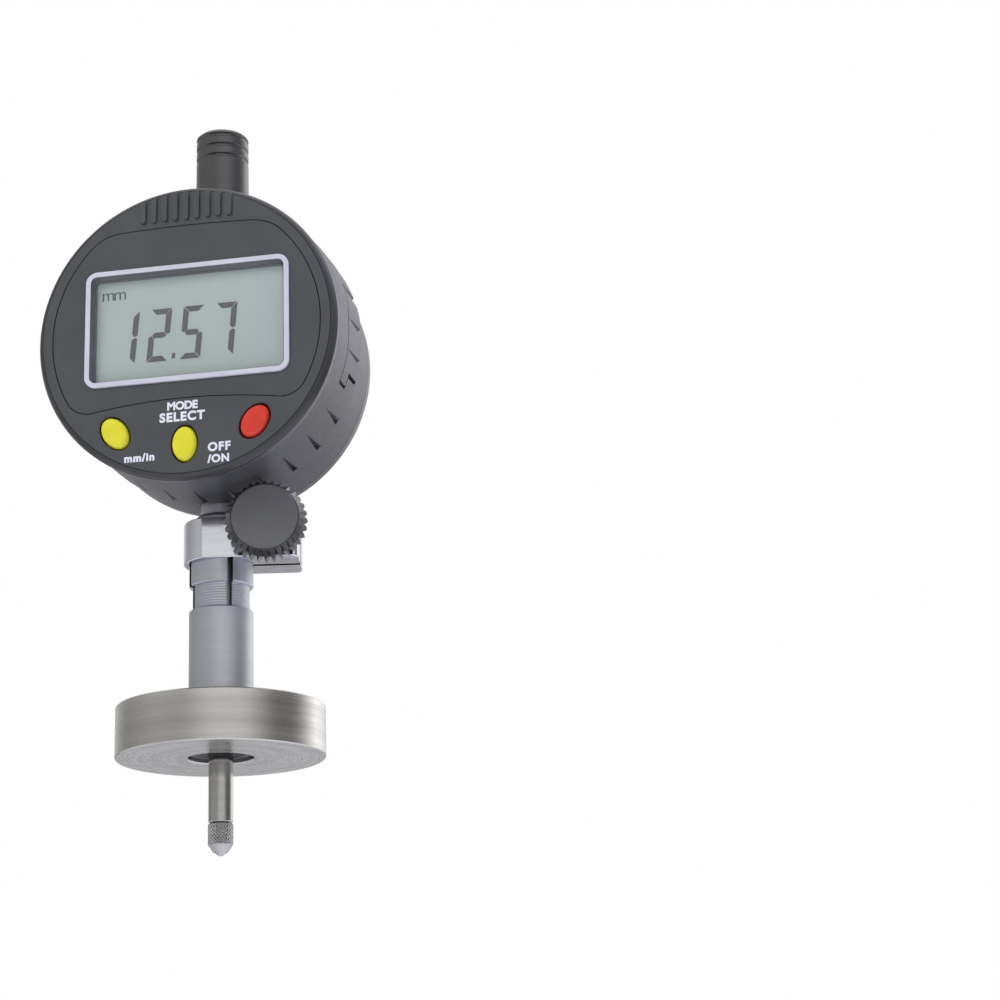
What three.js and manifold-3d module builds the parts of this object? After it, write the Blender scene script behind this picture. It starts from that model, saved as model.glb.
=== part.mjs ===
// Digital dial indicator clamped in a depth base, every piece a separate solid.
// Millimetres, +Z up along the spindle, dial facing -Y.
// The origin is the middle of the back cover's outer face.
import * as THREE from 'three';
import { mergeVertices } from 'three/addons/utils/BufferGeometryUtils.js';
import Module from 'manifold-3d';

const wasm = await Module();
wasm.setup();

// Clearances that the whole gauge shares
const cutOverrun = 1;
const fitGap = 0.1;
const seamGap = 0.15;
const seatGap = 0.3;

// Facets round a full turn
const caseFacets = 60;
const discFacets = 48;
const roundFacets = 24;
const smallFacets = 18;
const fineFacets = 12;
const curveFacets = 7;
const cornerFacets = 2;

// Depth base and the split neck that stands in it
const baseRadius = 20;
const baseThickness = 9.8;
const baseEdge = 0.4;
const neckRadius = 6.2;
const neckBoreGap = 0.2;
const neckRecess = 0.3;
const neckLength = 18.9;
const neckEdge = 0.25;
const grooveDepth = 0.7;
const grooveLength = 4.7;
const collarLength = 4.5;
const colletTipRadius = 5.4;
const colletTipLength = 1.5;
const colletTipChamfer = 0.8;
const slitWidth = 1.1;
const slitCount = 4;
const slitTurnDeg = 33;

// Clamp ring with its two ears
const clampHeight = 8.2;
const clampRadius = 7.3;
const clampFlat = 6.65;
const clampEdge = 0.3;
const clampSlit = 1.4;
const clampTurnDeg = 11.5;
const earReach = 15.4;
const earCorner = 1.3;
const screwReach = 9.7;
const screwRise = 5.3;
const screwRadius = 1.75;
const screwTail = 0.6;
const screwPoint = 0.4;

// Serrated clamp knob
const knobRadius = 7.9;
const knobFaceRadius = 6.3;
const knobHubRadius = 4.4;
const knobHubLength = 3.5;
const knobBackBevel = 0.65;
const knobBackInset = 0.9;
const knobRimLength = 2;
const knobNoseLength = 2.9;
const knobFaceEdge = 0.25;
const knobTeeth = 30;
const knobToothDepth = 1.4;
const knobSocketDepth = 6;
const knobCaseGap = 0.3;

// Casing
const caseRadius = 29;
const caseWall = 1.8;
const caseDepth = 31.4;
const rearStep = 0.4;
const rearStepDepth = 12.2;
const coverThickness = 2.2;
const coverEdge = 0.4;
const spindleDepth = 8;
const ledgeThickness = 1.6;
const ledgeWidth = 1.5;
const screwCircleInset = 2;
const bossRadius = 2.6;
const bossLength = 7.5;
const coverScrewRadius = 1;
const coverScrewHeadRadius = 1.9;
const coverScrewHeadHeight = 0.9;
const coverScrewRecess = 0.15;
const coverScrewLength = 6.5;
const coverScrewCount = 4;

// Tapered grip notches in the side band
const notchCount = 27;
const notchStartDeg = 64.5;
const notchLength = 9.7;
const notchWidth = 1.3;
const notchDepth = 0.75;
const notchClearDeg = 9;

// Front case: rim, face plate and locating skirt
const rimOverhang = 0.65;
const rimDepth = 3.4;
const rimBevel = 0.75;
const rimBevelDepth = 1.6;
const rimRoundShare = 1 / 3;
const rimBackChamfer = 0.2;
const plateThickness = 2.2;
const panelThickness = 1.2;
const skirtThickness = 0.85;
const skirtLength = 1.2;

// Grip ribs on the face above the window
const ribCount = 9;
const ribPitch = 2.15;
const ribWidth = 1.15;
const ribHeight = 0.35;
const ribPanelGap = 1.5;
const ribTopInset = 0.35;

// Inset face panel
const panelInset = 2.6;
const panelTopShare = 0.8;
const panelCrownShare = 0.023;
const panelShoulderReachShare = 0.455;
const panelShoulderDeg = 45;
const panelCornerDeg = 28;
const panelFootShare = 0.57;
const panelFootReachShare = 0.712;
const panelFootArchShare = 0.114;
const panelGap = 0.2;

// Window, lens and display
const windowWidth = 38.1;
const windowHeight = 21.3;
const windowCorner = 1.1;
const windowBar = 1.15;
const windowOffset = 0.3;
const windowRise = 1.6;
const windowProud = 0.5;
const windowLedge = 0.4;
const lensThickness = 0.9;
const displayMargin = 0.6;
const displayThickness = 2;
const displaySetback = 3;
const contactStripHeight = 1.6;
const holderWall = 1;
const holderLip = 0.6;
const stripWidth = 1.6;
const stripMargin = 0.5;
const stripEndMargin = 1.5;

// Boards
const boardThickness = 0.9;
const keyMatThickness = 0.8;
const keyMatMargin = 2.6;
const keyMatInset = 1.3;
const domeHeight = 0.9;
const domeRadius = 2.4;

// Push buttons: long and short half-axes of the oval
const buttonLong = 3.4;
const buttonShort = 2.4;
const buttonGap = 0.35;
const buttonProud = 0.75;
const buttonEdgeRadius = 0.8;
const buttonCrownShares = [
  { inset: 1, drop: 0 },
  { inset: 0.55, drop: 0.12 },
  { inset: 0.15, drop: 0.5 },
  { inset: 0, drop: 1 },
];
const buttonFlange = 0.55;
const buttonFlangeThickness = 0.6;
const buttonTravel = 0.5;
const stalkRadius = 1.3;
const sideButtonReachShare = 0.472;
const sideButtonDropShare = 0.674;
const middleButtonDropShare = 0.785;
const sideButtonTiltDeg = 36;

// Battery drawer in the right flank
const doorTop = 12;
const doorFoot = 7.25;
const doorTab = 2.2;
const doorTabWidth = 3.6;
const doorFront = 21.5;
const doorHoleLength = 7.5;
const doorHoleWidth = 1.5;
const doorHoleDepth = 2;
const trayWidth = 14;
const trayRise = 1.3;
const trayWall = 0.9;
const trayDepth = 6.6;
const cellInset = 9.7;
const trayBoardGap = 3;
const cellRadius = 5.8;
const cellThickness = 5.4;
const cellEdge = 0.4;
const cellCapRadius = 4.7;
const cellCapHeight = 0.3;
const springLeafWidth = 3.2;
const springLeafThickness = 0.3;

// Stem, bushes and dust cap
const stemRadius = 4;
const stemBoreRadius = 3.1;
const stemHold = 23.1;
const stemFlangeRadius = 5.2;
const stemFlangeThickness = 1.2;
const stemEdge = 0.3;
const lowerBushLength = 8;
const nippleRadius = 3.5;
const nippleRise = 5;
const nippleFlangeRadius = 4.7;
const nippleFlangeThickness = 1.2;
const capRadius = 5.3;
const capRise = 21.6;
const capRoof = 1.5;
const capEdgeRadius = 0.7;
const capFlare = 0.1;
const capBoreRadius = 3;
const capPocketDepth = 1.2;
const capSpotGap = 0.2;
const capGrooveCount = 3;
const capGroovePitch = 2.25;
const capGrooveFirst = 0.9;
const capGrooveWidth = 0.9;
const capGrooveDepth = 0.35;

// Cast frame inside the casing
const frameThickness = 1.7;
const frameHalfWidth = 11;
const frameTopGap = 2.9;
const frameFootGap = 1.4;
const lugHalfWidth = 7.5;
const lugHeight = 5;
const topLugHeight = 6;
const lugFront = 4.3;
const readerBossRadius = 1.4;
const readerBossLength = 1.8;
const readerBossReach = 6;
const readerScrewRadius = 0.7;
const readerScrewHeadRadius = 1.3;
const readerScrewHeadHeight = 0.6;
const readerHalfWidth = 9.5;
const readerOverlap = 0.8;
const headerWidth = 12;
const headerHeight = 2.6;
const headerRise = 4.5;

// Measuring spindle, its carriage and the contact
const spindleRadius = 2.35;
const spindleTravel = 25;
const spindleTopGap = 0.5;
const spindleEdge = 0.3;
const contactReach = 18.5;
const contactLength = 6.2;
const contactRadius = 2.42;
const contactGripLength = 4.1;
const contactNoseRadius = 1.35;
const contactStudRadius = 1.2;
const contactStudLength = 3.5;
const ballRadius = 1.1;
const ballShow = 0.7;
const carriageHalfWidth = 6.5;
const carriageHeight = 9.5;
const carriageFront = 4.5;
const carriageBack = 3;
const stripBoardHeight = 14;
const stripBoardHalfWidth = 4;
const stripBoardThickness = 0.9;
const guidePinRadius = 0.8;
const guidePinDrop = 4.8;
const guideSlotGap = 0.2;
const guidePinEndGap = 0.4;

// Return spring beside the spindle
const springReach = 9.5;
const springRadius = 1.4;
const springWire = 0.2;
const springTurns = 9;
const springSteps = 8;
const springSides = 4;
const springPostRadius = 0.9;
const springPostInset = 2.1;
const springPostPast = 1.6;
const springPinRadius = 0.7;
const springPinSeat = 2.2;
const springPinDrop = 1.2;
const springPinPast = 1.2;

// Shares and plain ratios
const halfShare = 0.5;
const doubleCount = 2;
const weldShare = 1e-3;
const turnDeg = 360;
const squareDeg = 90;

const rad = THREE.MathUtils.degToRad;

// Heights and depths worked out from the sizes above
const clampLow = baseThickness + neckLength + grooveLength + collarLength;
const knobRimStart = clampFlat + seatGap + knobHubLength + knobBackBevel;
const knobFaceAt = knobRimStart + knobRimLength + knobNoseLength;
const knobSide = screwReach * Math.cos(rad(clampTurnDeg)) + knobRimStart * Math.sin(rad(clampTurnDeg));
const knobDrop = Math.sqrt((caseRadius + knobRadius + knobCaseGap) ** 2 - knobSide ** 2);
const dialHeight = clampLow + screwRise + knobDrop;
const baseFoot = -dialHeight;
const baseTop = baseFoot + baseThickness;
const grooveLow = baseTop + neckLength;
const grooveHigh = grooveLow + grooveLength;
const clampFoot = baseFoot + clampLow;
const clampTop = clampFoot + clampHeight;
const neckTop = clampTop + colletTipLength;
const stemFoot = neckTop - stemHold;
const nippleTop = caseRadius + nippleRise;
const capTop = caseRadius + capRise;
const spindleY = -spindleDepth;
const faceY = -caseDepth;
const plateBack = faceY + plateThickness;
const rimBack = faceY + rimDepth;
const coverFront = -coverThickness;
const bodyBack = coverFront - fitGap;
const bodyFront = rimBack + fitGap;
const innerRadius = caseRadius - caseWall;
const rearRadius = caseRadius - rearStep;
const panelRadius = caseRadius - panelInset;
const panelTop = panelRadius * panelTopShare;
const sideButtonX = caseRadius * sideButtonReachShare;
const sideButtonZ = -caseRadius * sideButtonDropShare;
const middleButtonZ = -caseRadius * middleButtonDropShare;
const keyMatTop = sideButtonZ + buttonLong + keyMatMargin;
const screwCircle = innerRadius - screwCircleInset;
const panelFloor = faceY + panelThickness;
const displayFront = faceY + displaySetback;
const displayBack = displayFront + displayThickness;
const mainBoardFront = displayBack + contactStripHeight;
const mainBoardBack = mainBoardFront + boardThickness;
const ledgeFront = mainBoardBack + fitGap;
const ledgeBack = ledgeFront + ledgeThickness;
const spindleFoot = baseFoot - contactReach + contactLength;
const spindleTop = capTop - capRoof - spindleTopGap - spindleTravel;
const frameReach = Math.sqrt(innerRadius ** 2 - frameHalfWidth ** 2);
const frameTop = frameReach - frameTopGap;
const frameFoot = frameFootGap - frameReach;
const flangeReach = Math.sqrt(innerRadius ** 2 - stemFlangeRadius ** 2);
const lugFoot = stemFlangeThickness + fitGap + seatGap - flangeReach;
const lugTop = lugFoot + lugHeight;
const frameBack = coverFront - fitGap;
const framePlateFront = frameBack - frameThickness;
const lugFrontY = spindleY - lugFront;
const readerBack = lugFrontY - readerBossLength - fitGap;
const readerFront = readerBack - boardThickness;
const carriageFoot = lugTop + seatGap;
const carriageTop = carriageFoot + carriageHeight;
const guidePinStart = spindleRadius + seatGap;
const springPostZ = frameFoot + springPostInset;
const cellX = innerRadius - cellInset;
const trayStart = cellX - trayWidth * halfShare;
const trayFront = mainBoardBack + trayBoardGap;
const trayBack = trayFront + trayDepth;

// Finishes, one colour for each kind of piece
const finish = (color, roughness, metalness, extra = {}) =>
  new THREE.MeshStandardMaterial({ color, roughness, metalness, flatShading: true, ...extra });
const groundSteel = () => finish('#a8a8a4', 0.35, 1);
const satinChrome = () => finish('#b9bcc2', 0.28, 1);
const brass = () => finish('#b08d4a', 0.4, 1);
const castAlloy = () => finish('#8f9194', 0.55, 0.9);
const casePlastic = () => finish('#525456', 0.6, 0);
const darkPlastic = () => finish('#4d4e4e', 0.5, 0);
const boardGreen = () => finish('#1f5a38', 0.6, 0);

// Welds a geometry into one closed body with its faces pointing out
function closed(geometry) {
  const bare = geometry.clone();
  bare.deleteAttribute('normal');
  bare.deleteAttribute('uv');
  bare.clearGroups();
  const welded = mergeVertices(bare, fitGap * weldShare);
  const corners = welded.index.array;
  const place = welded.attributes.position;
  const a = new THREE.Vector3();
  const b = new THREE.Vector3();
  const c = new THREE.Vector3();
  const kept = [];
  let volume = 0;
  for (let i = 0; i < corners.length; i += 3) {
    const [p, q, r] = [corners[i], corners[i + 1], corners[i + 2]];
    if (p !== q && q !== r && r !== p) {
      kept.push(p, q, r);
      a.fromBufferAttribute(place, p);
      b.fromBufferAttribute(place, q);
      c.fromBufferAttribute(place, r);
      volume += a.dot(b.cross(c));
    }
  }
  if (volume < 0) {
    kept.reverse();
  }
  welded.setIndex(kept);
  return welded;
}

// A solid that can be joined to and cut by others
function solid(geometry) {
  const body = closed(geometry);
  return new wasm.Manifold(new wasm.Mesh({
    numProp: 3,
    vertProperties: new Float32Array(body.attributes.position.array),
    triVerts: new Uint32Array(body.index.array),
  }));
}

// Back from a solid to a geometry
function shaped(manifold) {
  const mesh = manifold.getMesh();
  const geometry = new THREE.BufferGeometry();
  geometry.setAttribute('position', new THREE.BufferAttribute(mesh.vertProperties, 3));
  geometry.setIndex(new THREE.BufferAttribute(mesh.triVerts, 1));
  return geometry;
}

// Makes the named piece and hangs it on its group
function piece(group, name, geometry, material) {
  const ready = geometry.isBufferGeometry ? closed(geometry) : shaped(geometry);
  ready.computeVertexNormals();
  const mesh = new THREE.Mesh(ready, material);
  mesh.name = name;
  group.add(mesh);
  return mesh;
}

const points = (list) => list.map(([x, y]) => new THREE.Vector2(x, y));

// Turned about the vertical axis: [radius, height] pairs
function turnedUp(profile, facets = roundFacets) {
  return new THREE.LatheGeometry(points(profile), facets).rotateX(Math.PI / 2);
}

// Turned about the dial's axis: [radius, depth] pairs
function turnedBack(profile, facets = caseFacets) {
  return new THREE.LatheGeometry(points(profile), facets);
}

// An upright rod or hole from one height to another
function rod(radius, low, high, facets = smallFacets) {
  return turnedUp([[0, low], [radius, low], [radius, high], [0, high]], facets);
}

// A rod or hole along the dial's axis, from the back to the front
function pin(radius, back, front, facets = fineFacets) {
  return turnedBack([[0, front], [radius, front], [radius, back], [0, back]], facets);
}

// A rod or hole across the dial, from the left to the right
function crossPin(radius, left, right, facets = fineFacets) {
  return pin(radius, right, left, facets).rotateZ(-Math.PI / 2);
}

// A box given by its low and high corners
function block(low, high) {
  const size = high.map((value, i) => value - low[i]);
  const box = new THREE.BoxGeometry(...size);
  return box.translate(...low.map((value, i) => value + size[i] * halfShare));
}

// An outline drawn on the face, given its depth from back to front
function faceward(shape, back, front, curveSegments = curveFacets) {
  const plate = new THREE.ExtrudeGeometry(shape, { depth: back - front, bevelEnabled: false, curveSegments });
  return plate.rotateX(Math.PI / 2).translate(0, back, 0);
}

// A rectangle with round corners
function roundedRectangle(width, height, corner, x = 0, y = 0) {
  const right = x + width * halfShare;
  const top = y + height * halfShare;
  const left = right - width;
  const foot = top - height;
  const shape = new THREE.Shape();
  shape.moveTo(left + corner, foot);
  shape.lineTo(right - corner, foot);
  shape.absarc(right - corner, foot + corner, corner, -Math.PI / 2, 0);
  shape.lineTo(right, top - corner);
  shape.absarc(right - corner, top - corner, corner, 0, Math.PI / 2);
  shape.lineTo(left + corner, top);
  shape.absarc(left + corner, top - corner, corner, Math.PI / 2, Math.PI);
  shape.lineTo(left, foot + corner);
  shape.absarc(left + corner, foot + corner, corner, Math.PI, -Math.PI / 2);
  return shape;
}

// A plate of the window's shape, grown or shrunk on every side
function windowPlate(grow, back, front) {
  const outline = roundedRectangle(
    windowWidth + grow * doubleCount,
    windowHeight + grow * doubleCount,
    Math.max(windowCorner + grow, windowCorner * halfShare),
    windowOffset,
    windowRise,
  );
  return faceward(outline, back, front, cornerFacets);
}

// Angles on the casing are counted clockwise from the top, seen from the front
function onRim(radius, angleDeg) {
  return [radius * Math.sin(rad(angleDeg)), radius * Math.cos(rad(angleDeg))];
}

const gauge = new THREE.Group();
const stand = new THREE.Group();
const clamp = new THREE.Group();
const head = new THREE.Group();
gauge.add(stand, clamp, head);

// Depth base: a turned steel disc bored for the neck
function baseDisc() {
  const bore = neckRadius + fitGap;
  return turnedUp([
    [bore, baseFoot],
    [baseRadius - baseEdge, baseFoot],
    [baseRadius, baseFoot + baseEdge],
    [baseRadius, baseTop - baseEdge],
    [baseRadius - baseEdge, baseTop],
    [bore, baseTop],
    [bore, baseFoot],
  ], discFacets);
}

// Neck sleeve: relieved above the base and slit into collet jaws
function neckSleeve() {
  const bore = stemRadius + neckBoreGap;
  const foot = baseFoot + neckRecess;
  const grooveRadius = neckRadius - grooveDepth;
  let sleeve = solid(turnedUp([
    [bore, foot],
    [neckRadius - neckEdge, foot],
    [neckRadius, foot + neckEdge],
    [neckRadius, grooveLow - neckEdge],
    [neckRadius - neckEdge, grooveLow],
    [grooveRadius, grooveLow],
    [grooveRadius, grooveHigh],
    [neckRadius - neckEdge, grooveHigh],
    [neckRadius, grooveHigh + neckEdge],
    [neckRadius, clampTop],
    [colletTipRadius, clampTop],
    [colletTipRadius, neckTop - colletTipChamfer],
    [colletTipRadius - colletTipChamfer, neckTop],
    [bore, neckTop],
    [bore, foot],
  ]));
  for (let i = 0; i < slitCount; i += 1) {
    const slit = block(
      [0, -slitWidth * halfShare, grooveLow],
      [neckRadius + cutOverrun, slitWidth * halfShare, neckTop + cutOverrun],
    );
    slit.rotateZ(rad(slitTurnDeg - squareDeg + i * turnDeg / slitCount));
    sleeve = sleeve.subtract(solid(slit));
  }
  return sleeve;
}

stand.position.y = spindleY;
piece(stand, 'base_disc', baseDisc(), groundSteel());
piece(stand, 'neck_sleeve', neckSleeve(), satinChrome());

// Clamp ring: bored for the neck, flat on both sides, split between its ears
function clampRing() {
  const reach = earReach - earCorner;
  const side = clampFlat - earCorner;
  const flatStart = Math.sqrt(clampRadius ** 2 - clampFlat ** 2);
  const startAngle = Math.atan2(clampFlat, -flatStart);
  const outline = new THREE.Shape();
  outline.moveTo(-flatStart, -clampFlat);
  outline.lineTo(reach, -clampFlat);
  outline.absarc(reach, -side, earCorner, -Math.PI / 2, 0);
  outline.lineTo(earReach, side);
  outline.absarc(reach, side, earCorner, 0, Math.PI / 2);
  outline.lineTo(-flatStart, clampFlat);
  outline.absarc(0, 0, clampRadius, startAngle, Math.PI * 2 - startAngle);
  const body = new THREE.ExtrudeGeometry(outline, {
    depth: clampHeight - clampEdge * doubleCount,
    bevelThickness: clampEdge,
    bevelSize: clampEdge,
    bevelOffset: -clampEdge,
    bevelSegments: 1,
    curveSegments: curveFacets,
  }).translate(0, 0, clampFoot + clampEdge);
  const boreFoot = clampFoot - cutOverrun;
  const boreTop = clampTop + cutOverrun;
  const bore = rod(neckRadius + fitGap, boreFoot, boreTop, roundFacets);
  const slit = block(
    [neckRadius * halfShare, -clampSlit * halfShare, boreFoot],
    [earReach + cutOverrun, clampSlit * halfShare, boreTop],
  );
  const hole = pin(screwRadius + fitGap, clampRadius + cutOverrun, -clampRadius - cutOverrun);
  hole.translate(screwReach, 0, clampFoot + screwRise);
  return solid(body).subtract(solid(bore)).subtract(solid(slit)).subtract(solid(hole));
}

// Clamp screw: threaded into the rear ear, its head end moulded into the knob
function clampScrew() {
  const front = -(knobRimStart + knobRimLength);
  const back = clampFlat - screwTail;
  return turnedBack([
    [0, front],
    [screwRadius, front],
    [screwRadius, back - screwPoint],
    [screwRadius - screwPoint, back],
    [0, back],
  ], smallFacets);
}

// Clamp knob: a turned blank cut by sharp teeth all round, on a plain hub
function clampKnob() {
  const back = -(clampFlat + seatGap);
  const hubFront = back - knobHubLength;
  const rimStart = -knobRimStart;
  const rimEnd = rimStart - knobRimLength;
  const face = -knobFaceAt;
  const blank = turnedBack([
    [0, hubFront],
    [knobRadius - knobBackInset, hubFront],
    [knobRadius, rimStart],
    [knobRadius, rimEnd],
    [knobFaceRadius + knobFaceEdge, face + knobFaceEdge],
    [knobFaceRadius, face],
    [0, face],
  ], knobTeeth * doubleCount);
  const star = new THREE.Shape();
  const tip = knobRadius + fitGap;
  for (let i = 0; i < knobTeeth * doubleCount; i += 1) {
    const angle = i * Math.PI / knobTeeth;
    const reach = i % doubleCount ? tip - knobToothDepth : tip;
    const corner = [reach * Math.cos(angle), reach * Math.sin(angle)];
    if (i) {
      star.lineTo(...corner);
    } else {
      star.moveTo(...corner);
    }
  }
  const teeth = faceward(star, hubFront + cutOverrun, face - cutOverrun);
  const hub = pin(knobHubRadius, back, hubFront - cutOverrun, smallFacets);
  const socket = pin(screwRadius + fitGap, back + cutOverrun, rimEnd - fitGap, smallFacets);
  return solid(blank).intersect(solid(teeth)).add(solid(hub)).subtract(solid(socket));
}

clamp.position.y = spindleY;
clamp.rotation.z = rad(clampTurnDeg);
piece(clamp, 'clamp_ring', clampRing(), satinChrome());
const knobTurn = new THREE.Group();
knobTurn.position.set(screwReach, 0, clampFoot + screwRise);
clamp.add(knobTurn);
piece(knobTurn, 'clamp_screw', clampScrew(), groundSteel());
piece(knobTurn, 'clamp_knob', clampKnob(), finish('#67686a', 0.45, 0));

// One grip notch: a pyramid whose point lies forward on the band
function notchWedge(angleDeg, front, length, width, depth) {
  const half = width * halfShare;
  const out = caseRadius + cutOverrun;
  const spread = half * (out - caseRadius + depth) / depth;
  const corners = [
    [0, front, caseRadius],
    [-spread, front + length, out],
    [spread, front + length, out],
    [0, front + length, caseRadius - depth],
  ];
  const wedge = new THREE.BufferGeometry();
  wedge.setAttribute('position', new THREE.Float32BufferAttribute(corners.flat(), 3));
  wedge.setIndex([0, 1, 2, 0, 2, 3, 0, 3, 1, 1, 3, 2]);
  return wedge.rotateY(rad(angleDeg));
}

// All the notches round the band, except where the dust cap stands
function gripNotches() {
  let cut = null;
  const front = -rearStepDepth - notchLength;
  for (let i = 0; i < notchCount; i += 1) {
    const angle = (notchStartDeg + i * turnDeg / notchCount) % turnDeg;
    const fromTop = Math.min(angle, turnDeg - angle);
    if (fromTop > notchClearDeg) {
      const wedge = solid(notchWedge(angle, front, notchLength, notchWidth, notchDepth));
      cut = cut ? cut.add(wedge) : wedge;
    }
  }
  return cut;
}

// The wall of the casing before anything is cut out of it
function caseBand() {
  return solid(turnedBack([
    [caseRadius, bodyFront],
    [caseRadius, -rearStepDepth],
    [rearRadius, -rearStepDepth],
    [rearRadius, bodyBack],
    [innerRadius, bodyBack],
    [innerRadius, ledgeBack],
    [innerRadius - ledgeWidth, ledgeBack],
    [innerRadius - ledgeWidth, ledgeFront],
    [innerRadius, ledgeFront],
    [innerRadius, bodyFront],
    [caseRadius, bodyFront],
  ]));
}

// The battery door's outline, seen from the right, run through the flank
function doorPrism(grow) {
  const front = -doorFront - grow;
  const back = -rearStepDepth + grow;
  const step = -doorFront + doorTabWidth + grow;
  const outline = new THREE.Shape(points([
    [front, doorTop + grow],
    [front, -doorFoot - doorTab - grow],
    [step, -doorFoot - doorTab - grow],
    [step, -doorFoot - grow],
    [back, -doorFoot - grow],
    [back, doorTop + grow],
  ]));
  const start = innerRadius * halfShare;
  const depth = caseRadius + cutOverrun - start;
  const prism = new THREE.ExtrudeGeometry(outline, { depth, bevelEnabled: false });
  return solid(prism.rotateY(Math.PI / 2).rotateX(Math.PI / 2).translate(start, 0, 0));
}

// Pry hole at the lower edge of the battery door
function pryHole() {
  const angle = squareDeg + THREE.MathUtils.radToDeg(Math.asin(doorFoot / caseRadius));
  const front = -rearStepDepth - doorHoleLength + cutOverrun * doubleCount;
  return solid(notchWedge(angle, front, doorHoleLength, doorHoleWidth, doorHoleDepth));
}

function coverScrewPlace(i) {
  return onRim(screwCircle, squareDeg * halfShare + i * turnDeg / coverScrewCount);
}

const notches = gripNotches();
const band = caseBand();

// Body case: the side wall with its screw bosses
function bodyCase() {
  let body = band;
  for (let i = 0; i < coverScrewCount; i += 1) {
    const [x, z] = coverScrewPlace(i);
    const boss = pin(bossRadius, bodyBack, bodyBack - bossLength).translate(x, 0, z);
    body = body.add(solid(boss));
  }
  const roundBody = solid(pin(caseRadius + fitGap, 0, faceY, caseFacets));
  body = body.intersect(roundBody);
  for (let i = 0; i < coverScrewCount; i += 1) {
    const [x, z] = coverScrewPlace(i);
    const hole = pin(coverScrewRadius + fitGap, 0, bodyBack - coverScrewLength).translate(x, 0, z);
    body = body.subtract(solid(hole));
  }
  const stemHole = rod(stemRadius + seamGap, -caseRadius - cutOverrun, 0).translate(0, spindleY, 0);
  const nippleHole = rod(nippleRadius + seamGap, 0, caseRadius + cutOverrun).translate(0, spindleY, 0);
  const spotFloor = caseRadius - capPocketDepth;
  const spotRadius = capRadius + capFlare + capSpotGap;
  const capSpot = rod(spotRadius, spotFloor, caseRadius + cutOverrun).translate(0, spindleY, 0);
  return body
    .subtract(solid(stemHole))
    .subtract(solid(nippleHole))
    .subtract(solid(capSpot))
    .subtract(doorPrism(seamGap))
    .subtract(notches)
    .subtract(pryHole());
}

// Battery door: cut from the same wall, so it follows the band
function batteryDoor() {
  return band.intersect(doorPrism(0)).subtract(notches).subtract(pryHole());
}

// Outline of the inset face panel, grown for its pocket
function panelOutline(grow) {
  const radius = panelRadius + grow;
  const shoulder = rad(panelShoulderDeg);
  const corner = rad(panelCornerDeg);
  const top = panelTop + grow;
  const crown = panelRadius * panelCrownShare;
  const shoulderX = panelRadius * panelShoulderReachShare;
  const foot = -panelRadius * panelFootShare - grow;
  const footX = panelRadius * panelFootReachShare;
  const arch = panelRadius * panelFootArchShare;
  const sideX = radius * Math.cos(shoulder);
  const sideZ = radius * Math.sin(shoulder);
  const lowX = radius * Math.cos(corner);
  const lowZ = -radius * Math.sin(corner);
  const bendX = sideX - (top - sideZ) * Math.tan(shoulder);
  const bendLow = lowX - (lowZ - foot) * Math.tan(corner);
  const shape = new THREE.Shape();
  shape.moveTo(-shoulderX, top);
  shape.quadraticCurveTo(0, top + crown, shoulderX, top);
  shape.quadraticCurveTo(bendX, top, sideX, sideZ);
  shape.absarc(0, 0, radius, shoulder, -corner, true);
  shape.quadraticCurveTo(bendLow, foot, footX, foot);
  shape.quadraticCurveTo(0, foot + arch, -footX, foot);
  shape.quadraticCurveTo(-bendLow, foot, -lowX, lowZ);
  shape.absarc(0, 0, radius, Math.PI + corner, Math.PI - shoulder, true);
  shape.quadraticCurveTo(-bendX, top, -shoulderX, top);
  return shape;
}

// The three buttons: name, place on the face, tilt and colour
const buttons = [
  { name: 'button_left', x: -sideButtonX, z: sideButtonZ, tilt: -sideButtonTiltDeg, color: '#dcd73a' },
  { name: 'button_middle', x: 0, z: middleButtonZ, tilt: 0, color: '#dcd73a' },
  { name: 'button_right', x: sideButtonX, z: sideButtonZ, tilt: sideButtonTiltDeg, color: '#d8402a' },
];

// An oval body about a button's axis, from [half-length, depth] pairs
function oval(profile, facets = smallFacets) {
  return turnedBack(profile, facets).scale(buttonShort / buttonLong, 1, 1);
}

function atButton(geometry, button) {
  return geometry.rotateY(rad(button.tilt)).translate(button.x, 0, button.z);
}

// One raised grip rib, round at its foot and ending short of the rim
function gripRib(x) {
  const half = ribWidth * halfShare;
  const shape = new THREE.Shape();
  shape.moveTo(x - half, caseRadius);
  shape.lineTo(x - half, panelTop + ribPanelGap + half);
  shape.absarc(x, panelTop + ribPanelGap + half, half, Math.PI, Math.PI * 2);
  shape.lineTo(x + half, caseRadius);
  return solid(faceward(shape, faceY + ribHeight, faceY - ribHeight, cornerFacets));
}

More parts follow.
